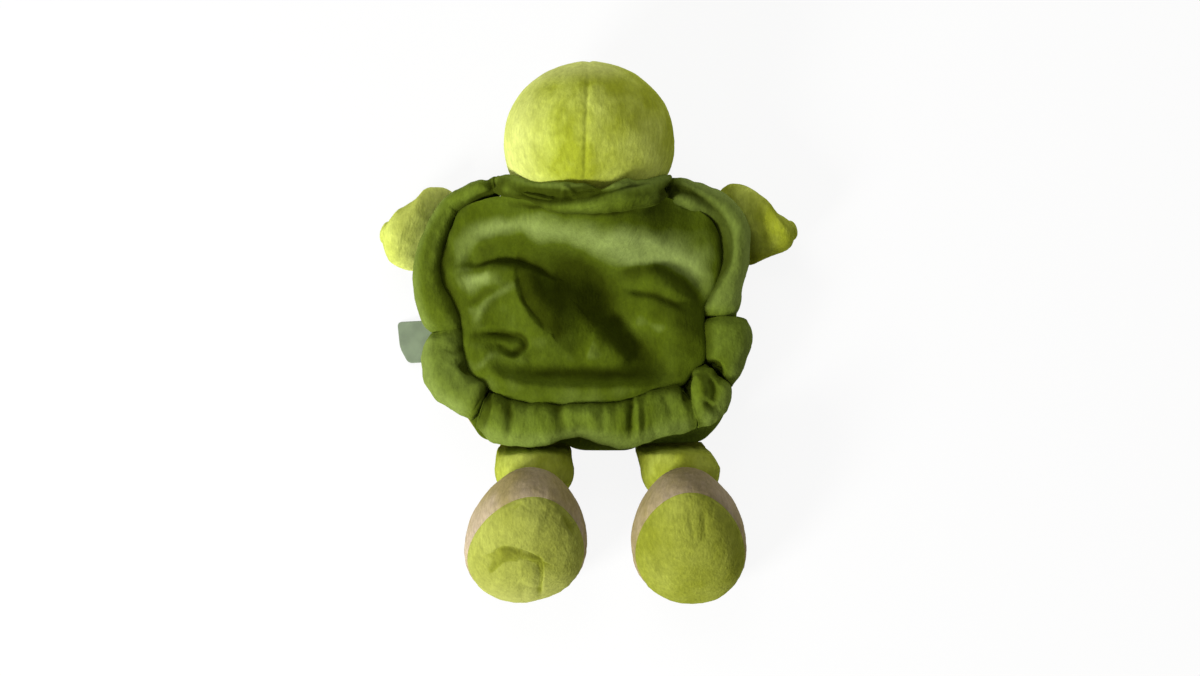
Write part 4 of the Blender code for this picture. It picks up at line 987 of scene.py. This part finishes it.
def make_carapace():
    """The slack panel: rings shrunk from its seam, drawn down steeply at the seam, with folds as a height field."""
    seam = evened(spline(CARAPACE_SEAM, 600, closed=True), 330, closed=True)
    share = 1 - np.linspace(0, 1, 135)[:-1] ** 1.2
    flat = CARAPACE_MIDDLE + (seam[None, :, :2] - CARAPACE_MIDDLE) * share[:, None, None]
    free = carapace_height(flat[..., 0], flat[..., 1])
    drawn = (1 - share ** 18)[:, None] ** 0.5
    height = seam[None, :, 2] + (free - seam[None, :, 2]) * drawn
    top = np.concatenate([flat, height[..., None]], axis=-1)
    crest = np.append(CARAPACE_MIDDLE, carapace_height(*CARAPACE_MIDDLE[:, None]))
    wall = CARAPACE_THICKNESS * UP
    grid = np.concatenate([top[::-1], top - wall])

    def relief(points):
        lumps = noise(points, (9.0, 9.0, 40.0), 31) * 0.5
        return lumps * step_up(19.0, 21.0, points[:, 2]) + pile(points, 0.9 * sizes().pile)

    panel = mesh_piece("carapace_plush", grid, crest, crest - wall, relief)
    points = places(panel)
    # Painted shade and painted highlight of the carapace, with a little random unevenness
    light_and_shade = painted_light_and_shade(points[:, 0], points[:, 1]) + noise(points, (11.0, 8.0, 11.0), 33) * 0.12
    tag(panel, "crease", np.clip(-light_and_shade, 0, 1))
    tag(panel, "lift", np.clip(light_and_shade, 0, 1))
    dress(panel, finish("carapace_plush"), "trunk", ("carapace_panel",))


def slab(outline, levels, rows, rings):
    """A flat body: its edge is the outline moved inwards and up by a rounded profile of (inset, height) levels.

    Its flat faces are rings that shrink to the outline's middle.
    """
    profile = evened(spline(levels, 200), rows)
    flat = outline[None] + inward(outline)[None] * profile[:, :1, None]
    height = np.broadcast_to(profile[:, 1:, None], flat.shape[:2] + (1,))
    wall = np.concatenate([flat, height], axis=-1)
    low, high = (np.append(outline.mean(axis=0), ring[0, 2]) for ring in (wall[0], wall[-1]))
    grid = np.concatenate([shrunk(wall[0], low, rings)[::-1], wall, shrunk(wall[-1], high, rings)])
    return grid, low, high


def make_belly():
    """The padded belly that the toy lies on."""
    body = slab(rounded(TRUNK_CORNERS, BELLY_CORNER_RADIUS, 380), BELLY_LEVELS, 26, 46)
    belly = mesh_piece("belly_plush", *body, lambda points: pile(points, 0.6 * sizes().pile), floor=True)
    dress(belly, finish("beige_plush"), "trunk", ("belly_panel", "belly_wadding"))


def make_back():
    """The back panel: the floor of the pocket, whose lip hangs out behind as the lower edge of its mouth."""
    corners = TRUNK_CORNERS[:3] + LIP_CORNERS + TRUNK_CORNERS[4:]
    levels = ((0.8, BACK_LOW), (0.1, BACK_LOW + 0.5), (0.0, BACK_LOW + 1.0), (0.1, BACK_TOP - 0.5), (0.8, BACK_TOP))
    body = slab(rounded(corners, BACK_CORNER_RADIUS, 420), levels, 12, 46)
    back = mesh_piece("back_plush", *body, lambda points: pile(points, 0.25 * sizes().pile))
    dress(back, finish("shell_plush"), "trunk", ("back_panel",))


def between(low, high, swing):
    """The middle of a span, plus its half length times a swing from -1 to 1."""
    return (low + high) / 2 + swing * (high - low) / 2


def limb_relief(away, spot, cell, seed, strength, fade, points):
    """A stuffed limb's pile, gathered where it is sewn on."""
    gather = np.where(away > 0.5, noise(spot, cell, seed) * strength * np.exp(-fade), 0)
    return gather + pile(points, sizes().pile) * step_up(-2, 6, away)


def make_arm(side, rings):
    """A mitten arm pinched flat at its shoulder seam: an oval at each ring, with a shallow dome at the hand's end."""
    hinge, outward, along = (np.array(value) for value in SHOULDERS[side])
    distance, back, front, low, high = np.split(spline(rings, 140), 5, axis=1)
    turn = circle(130)[None, :]
    flat = hinge[:2] + outward * distance[..., None] + along * between(back, front, np.cos(turn))[..., None]
    grid = np.concatenate([flat, between(low, high, np.sin(turn))[..., None]], axis=-1)
    middle = grid[-1].mean(axis=0)
    share = np.linspace(0, 1, 16)[1:-1, None, None]
    out = np.append(outward, 0.0) * HAND_DOME
    cap = middle + (grid[-1] - middle) * np.sqrt(1 - share ** 2) + out * share
    grid = np.concatenate([grid, cap])

    def relief(points):
        away = (points[:, :2] - hinge[:2]) @ outward
        run = (points[:, :2] - hinge[:2]) @ along
        spot = np.stack([away, run, points[:, 2]], axis=1)
        return limb_relief(away, spot, (16.0, 4.5, 30.0), 41, 1.1, (away - 2) / 9.0, points)

    name = "arm_" + side
    arm = mesh_piece(name + "_plush", grid, grid[0].mean(axis=0), middle + out, relief, floor=True)
    away = np.maximum((places(arm)[:, :2] - hinge[:2]) @ outward, 0)
    # Painted shade, deepest where the arm meets the shell, and painted light near the shoulder
    tag(arm, "crease", ARM_PAINTED_SHADE[side] + 0.15 * np.exp(-away / 4.0))
    tag(arm, "lift", ARM_PAINTED_LIGHT[side] * np.exp(-away / 14.0))
    dress(arm, finish("lime_plush"), name, (name + "_cover", name + "_filling"))


def make_leg(side):
    """A short stuffed leg, pinched flat at its hip seam and round where it sits in the foot."""
    hip, ankle = (np.array(value) for value in LEGS[side])
    out, half_width, low, high = np.split(spline(LEG_RINGS, 70), 4, axis=1)
    turn = circle(130)[None, :]
    stub = (hip[0] + (ankle[0] - hip[0]) * out + half_width * np.cos(turn), hip[1] + (ankle[1] - hip[1]) * out,
            between(low, high, np.sin(turn)))
    lean = np.linspace(0, math.pi / 2, 30)[1:-1, None]
    wide, long, tall = ANKLE_BALL
    ball = (ankle[0] + wide * np.cos(lean) ** 0.5 * np.cos(turn), ankle[1] - long * np.sin(lean),
            ankle[2] + tall * np.cos(lean) * np.sin(turn))
    grid = np.concatenate([np.stack(np.broadcast_arrays(*part), axis=-1) for part in (stub, ball)])

    def relief(points):
        away = hip[1] - points[:, 1]
        return limb_relief(away, points, (4.5, 12.0, 20.0), 43, 0.9, away / 8.0, points)

    name = "leg_" + side
    leg = mesh_piece(name + "_plush", grid, grid[0].mean(axis=0), ankle - long * FORWARD, relief, floor=True)
    away = np.maximum(hip[1] - places(leg)[:, 1], 0)
    # Painted shade over the whole leg, deepest under the hem where it is sewn on
    tag(leg, "crease", 0.30 + 0.5 * np.exp(-away / 5.0))
    dress(leg, finish("lime_plush"), name, (name + "_cover", name + "_filling"))


def seam_rise(side, level, cos, sin):
    """How much higher the sole's seam runs towards the heel, for a direction from the foot's middle."""
    rise, aim = HEEL_SEAM[side]
    heel = (1 - cos * math.cos(aim) - sin * math.sin(aim)) / 2
    return rise * heel ** 1.7 * (1 - level ** 2) ** 2


def foot_grid(side, levels, columns):
    """The bun of a foot: level runs along the sole's normal, and each ring is an oval that narrows at the heel."""
    middle, half_width, half_length = FEET[side]
    cos, sin = np.cos(circle(columns)), np.sin(circle(columns))
    level = levels[:, None]
    groove = SEAM_GROOVE * np.exp(-((level - SOLE_LEVEL) * FOOT_HALF_DEPTH / 1.6) ** 2)
    level = level + seam_rise(side, level, cos, sin)
    flat = np.sqrt(np.clip(1 - np.abs(level) ** 2.3, 0, 1)) - groove
    heel = (1 - cos) / 2
    forward = flat * half_length * cos
    sideways = flat * half_width * (sin * (1 - HEEL_TAPER[side] * heel) + HEEL_LEAN[side] * (heel - 0.25))
    rise = level * FOOT_HALF_DEPTH
    return middle + TOE * forward[..., None] + RIGHT * sideways[..., None] + SOLE_NORMAL * rise[..., None]


def above_seam(side, points):
    """Height of points over the sole's seam, along the sole's normal."""
    middle, half_width, half_length = FEET[side]
    level = (points - middle) @ SOLE_NORMAL / FOOT_HALF_DEPTH
    cos = (points - middle) @ TOE / half_length
    sin = (points[:, 0] - middle[0]) / half_width
    far = np.maximum(np.hypot(cos, sin), 0.3)
    return (level - SOLE_LEVEL - seam_rise(side, SOLE_LEVEL, cos / far, sin / far)) * FOOT_HALF_DEPTH


def sole_folds(side, points):
    """Creases of the slack sole, which end at its seam."""
    return folds(points[:, 0], points[:, 1], SOLE_FOLDS[side]) * step_up(1.0, 5.0, above_seam(side, points))


def make_foot_part(side, part, slot, levels, columns, pole, replaced):
    """One half of a foot: an outer skin from its pole to the seam, and a lining a little inside it."""
    middle = FEET[side][0]
    outer = foot_grid(side, levels, columns)
    inner = middle + (outer - middle) * LINING + SOLE_NORMAL * (1 - LINING) * SOLE_LEVEL * FOOT_HALF_DEPTH

    def relief(points):
        away = np.abs(above_seam(side, points))
        pucker = noise(points, 4.0, 51) * 0.5 * np.exp(-away / 6.0)
        return (pucker + sole_folds(side, points) + pile(points, sizes().pile)) * step_up(0.1, 1.6, away)

    grid = np.concatenate([outer[::-1], inner[::4]])
    foot = mesh_piece("foot_" + side + "_" + part + "_plush", grid, middle + pole, middle + pole * LINING, relief,
                      floor=True)
    spots = places(foot) - middle
    # Painted shade in the sole's creases
    dark = np.clip(-sole_folds(side, spots + middle) / 2.2, 0, 0.5)
    light = 0 * dark
    if part == "upper":
        # Painted shade on the upper towards the heel, and painted light on the sole, most towards the toe
        heel = step_up(18.0, 40.0, -spots @ TOE) * np.exp(-(spots[:, 0] / 17) ** 2)
        dark = dark + UPPER_PAINTED_SHADE[side] + 0.35 * heel
    else:
        everywhere, at_toe = SOLE_PAINTED_LIGHT[side]
        light = everywhere + at_toe * step_up(5.0, 35.0, spots @ TOE) - dark
    tag(foot, "crease", dark)
    tag(foot, "lift", np.clip(light, 0, 1))
    dress(foot, finish(slot), "foot_" + side, replaced)


def make_foot(side):
    """A bun-shaped foot in two pieces that are sewn together round the sole."""
    name = "foot_" + side
    depth = SOLE_NORMAL * FOOT_HALF_DEPTH
    closer = (1 - np.linspace(0, 1, 95)[:-1]) ** 1.6
    make_foot_part(side, "upper", "beige_plush", -1 + (SOLE_LEVEL + 1) * closer, 200, -depth,
                   (name + "_upper", name + "_filling"))
    closer = (1 - np.linspace(0, 1, 115)[:-1]) ** 1.6
    make_foot_part(side, "sole", "sole_plush", 1 - (1 - SOLE_LEVEL - SEAM_GAP) * closer, 320, depth,
                   (name + "_sole",))


def make_label():
    """A folded satin tape with rounded corners, which hangs from the side seam."""
    corners = ((0.0, 12.0), (-LABEL_LENGTH, 12.0), (-24.3, -3.0), (-19.5, -12.0), (0.0, -12.0))
    levels = ((0.3, -0.35), (0.0, -0.2), (0.0, 0.2), (0.3, 0.35))

    def placed(points):
        out, y, z = np.moveaxis(points, -1, 0)
        bow = 0.9 * np.sin(out / LABEL_LENGTH * math.pi) + 0.5 * np.sin(y / 9.0)
        x = out * math.cos(LABEL_DROP) + 0.08 * (12.0 - y) * np.clip(-out / LABEL_LENGTH, 0, 1)
        z = out * math.sin(LABEL_DROP) + z - bow * 0.25
        return np.stack([x, y, z], axis=-1) + LABEL_SEAM

    body = slab(rounded(corners, 3.0, 260), levels, 6, 24)
    label = mesh_piece("label_tape", *(placed(points) for points in body), floor=True)
    dress(label, finish("label_satin"), "label", ("care_label",))


def make_floor():
    """A white floor that keeps a faint shadow."""
    size = STAGE_HALF_SIZE
    mesh = bpy.data.meshes.new("floor")
    mesh.from_pydata([(-size, -size, 0), (size, -size, 0), (size, size, 0), (-size, size, 0)], [], [(0, 1, 2, 3)])
    nodes = Nodes(bpy.data.materials.new("pale_floor"))
    nodes.surface(Base_Color=(0.86, 0.86, 0.85, 1.0), Roughness=0.9)
    nodes.over_paper(0.9, "ShaderNodeEmission", "Material Output")
    mesh.materials.append(nodes.owner)
    floor = link("floor", mesh)


def make_light():
    """Soft studio light: a key lamp from the lower left, a fill lamp from the head's side, and a warm white room."""
    nodes = Nodes(bpy.data.worlds.new("studio"), "Background")
    nodes.surface(Color=(1.0, 0.98, 0.95, 1.0), Strength=0.30)
    nodes.over_paper(1.0, "ShaderNodeBackground", "World Output")
    bpy.context.scene.world = nodes.owner
    for name, (place, power, size) in LAMPS.items():
        lamp = bpy.data.lights.new(name, "AREA")
        lamp.energy = power
        lamp.size = size
        light = link(name, lamp)
        light.location = place
        x, y, z = LAMP_AIM - place
        light.rotation_euler = (math.atan2(math.hypot(x, y), -z), 0.0, math.atan2(-x, y))


def make_camera():
    """The camera at the photograph's angle, with its plain view settings."""
    lens = bpy.data.cameras.new("camera")
    lens.sensor_width = 36.0
    lens.lens = CAMERA_LENS
    lens.clip_start = 0.01
    camera = link("camera", lens)
    back = -math.cos(CAMERA_ELEVATION) * FORWARD + math.sin(CAMERA_ELEVATION) * UP
    camera.location = CAMERA_AIM + CAMERA_DISTANCE * back
    camera.rotation_euler = (math.pi / 2 - CAMERA_ELEVATION, 0.0, 0.0)
    scene = bpy.context.scene
    scene.camera = camera
    scene.view_settings.view_transform = "Standard"


class TURTLE_OT_stage(bpy.types.Operator):
    """Makes the floor, the lights and the camera"""
    bl_idname = "turtle.stage"
    bl_label = "Stage"
    bl_options = {"REGISTER", "UNDO"}

    def execute(self, context):
        make_floor()
        make_light()
        make_camera()
        return {"FINISHED"}


class TURTLE_OT_trunk(bpy.types.Operator):
    """Makes the padded belly and the back panel with its lip"""
    bl_idname = "turtle.trunk"
    bl_label = "Belly and Back"
    bl_options = {"REGISTER", "UNDO"}

    def execute(self, context):
        make_belly()
        make_back()
        return {"FINISHED"}


class TURTLE_OT_rim(bpy.types.Operator):
    """Makes the puffy rim rolls and the collar"""
    bl_idname = "turtle.rim"
    bl_label = "Rim and Collar"
    bl_options = {"REGISTER", "UNDO"}

    def execute(self, context):
        make_rim()
        make_collar()
        return {"FINISHED"}


class TURTLE_OT_carapace(bpy.types.Operator):
    """Makes the slack carapace panel"""
    bl_idname = "turtle.carapace"
    bl_label = "Carapace"
    bl_options = {"REGISTER", "UNDO"}

    def execute(self, context):
        make_carapace()
        return {"FINISHED"}


class TURTLE_OT_head(bpy.types.Operator):
    """Makes the head and its neck"""
    bl_idname = "turtle.head"
    bl_label = "Head"
    bl_options = {"REGISTER", "UNDO"}

    def execute(self, context):
        make_head()
        make_neck()
        return {"FINISHED"}


class TURTLE_OT_face(bpy.types.Operator):
    """Makes the eyes and the sewn mouth"""
    bl_idname = "turtle.face"
    bl_label = "Face"
    bl_options = {"REGISTER", "UNDO"}

    def execute(self, context):
        make_eye("left", -1.0)
        make_eye("right", 1.0)
        make_mouth()
        return {"FINISHED"}


class TURTLE_OT_arms(bpy.types.Operator):
    """Makes both mitten arms"""
    bl_idname = "turtle.arms"
    bl_label = "Arms"
    bl_options = {"REGISTER", "UNDO"}

    def execute(self, context):
        make_arm("left", ARM_LEFT)
        make_arm("right", ARM_RIGHT)
        return {"FINISHED"}


class TURTLE_OT_legs(bpy.types.Operator):
    """Makes both legs"""
    bl_idname = "turtle.legs"
    bl_label = "Legs"
    bl_options = {"REGISTER", "UNDO"}

    def execute(self, context):
        make_leg("left")
        make_leg("right")
        return {"FINISHED"}


class TURTLE_OT_feet(bpy.types.Operator):
    """Makes both feet with their soles"""
    bl_idname = "turtle.feet"
    bl_label = "Feet"
    bl_options = {"REGISTER", "UNDO"}

    def execute(self, context):
        make_foot("left")
        make_foot("right")
        return {"FINISHED"}


class TURTLE_OT_label(bpy.types.Operator):
    """Makes the bare satin label"""
    bl_idname = "turtle.label"
    bl_label = "Label"
    bl_options = {"REGISTER", "UNDO"}

    def execute(self, context):
        make_label()
        return {"FINISHED"}


OPERATORS = (
    TURTLE_OT_stage, TURTLE_OT_trunk, TURTLE_OT_rim, TURTLE_OT_carapace, TURTLE_OT_head,
    TURTLE_OT_face, TURTLE_OT_arms, TURTLE_OT_legs, TURTLE_OT_feet, TURTLE_OT_label,
)


class TURTLE_PT_panel(bpy.types.Panel):
    """Lists the turtle's sizes, colours and pieces"""
    bl_idname = "TURTLE_PT_panel"
    bl_label = "Plush Turtle"
    bl_space_type = "VIEW_3D"
    bl_region_type = "UI"
    bl_category = "Plush Turtle"

    def draw(self, context):
        layout = self.layout
        for group in (sizes(), colours()):
            for key in group.bl_rna.properties.keys():
                if key not in ("rna_type", "name"):
                    layout.prop(group, key)
        for operator in OPERATORS:
            layout.operator(operator.bl_idname)


CLASSES = (TurtleSizes, TurtleColours, *OPERATORS, TURTLE_PT_panel)


def register():
    for item in CLASSES:
        bpy.utils.register_class(item)
    bpy.types.Scene.turtle_sizes = PointerProperty(type=TurtleSizes)
    bpy.types.Scene.turtle_colours = PointerProperty(type=TurtleColours)


def unregister():
    del bpy.types.Scene.turtle_colours
    del bpy.types.Scene.turtle_sizes
    for item in reversed(CLASSES):
        bpy.utils.unregister_class(item)


def main():
    register()
    for operator in OPERATORS:
        group, name = operator.bl_idname.split(".")
        getattr(getattr(bpy.ops, group), name)()


if __name__ == "__main__":
    main()
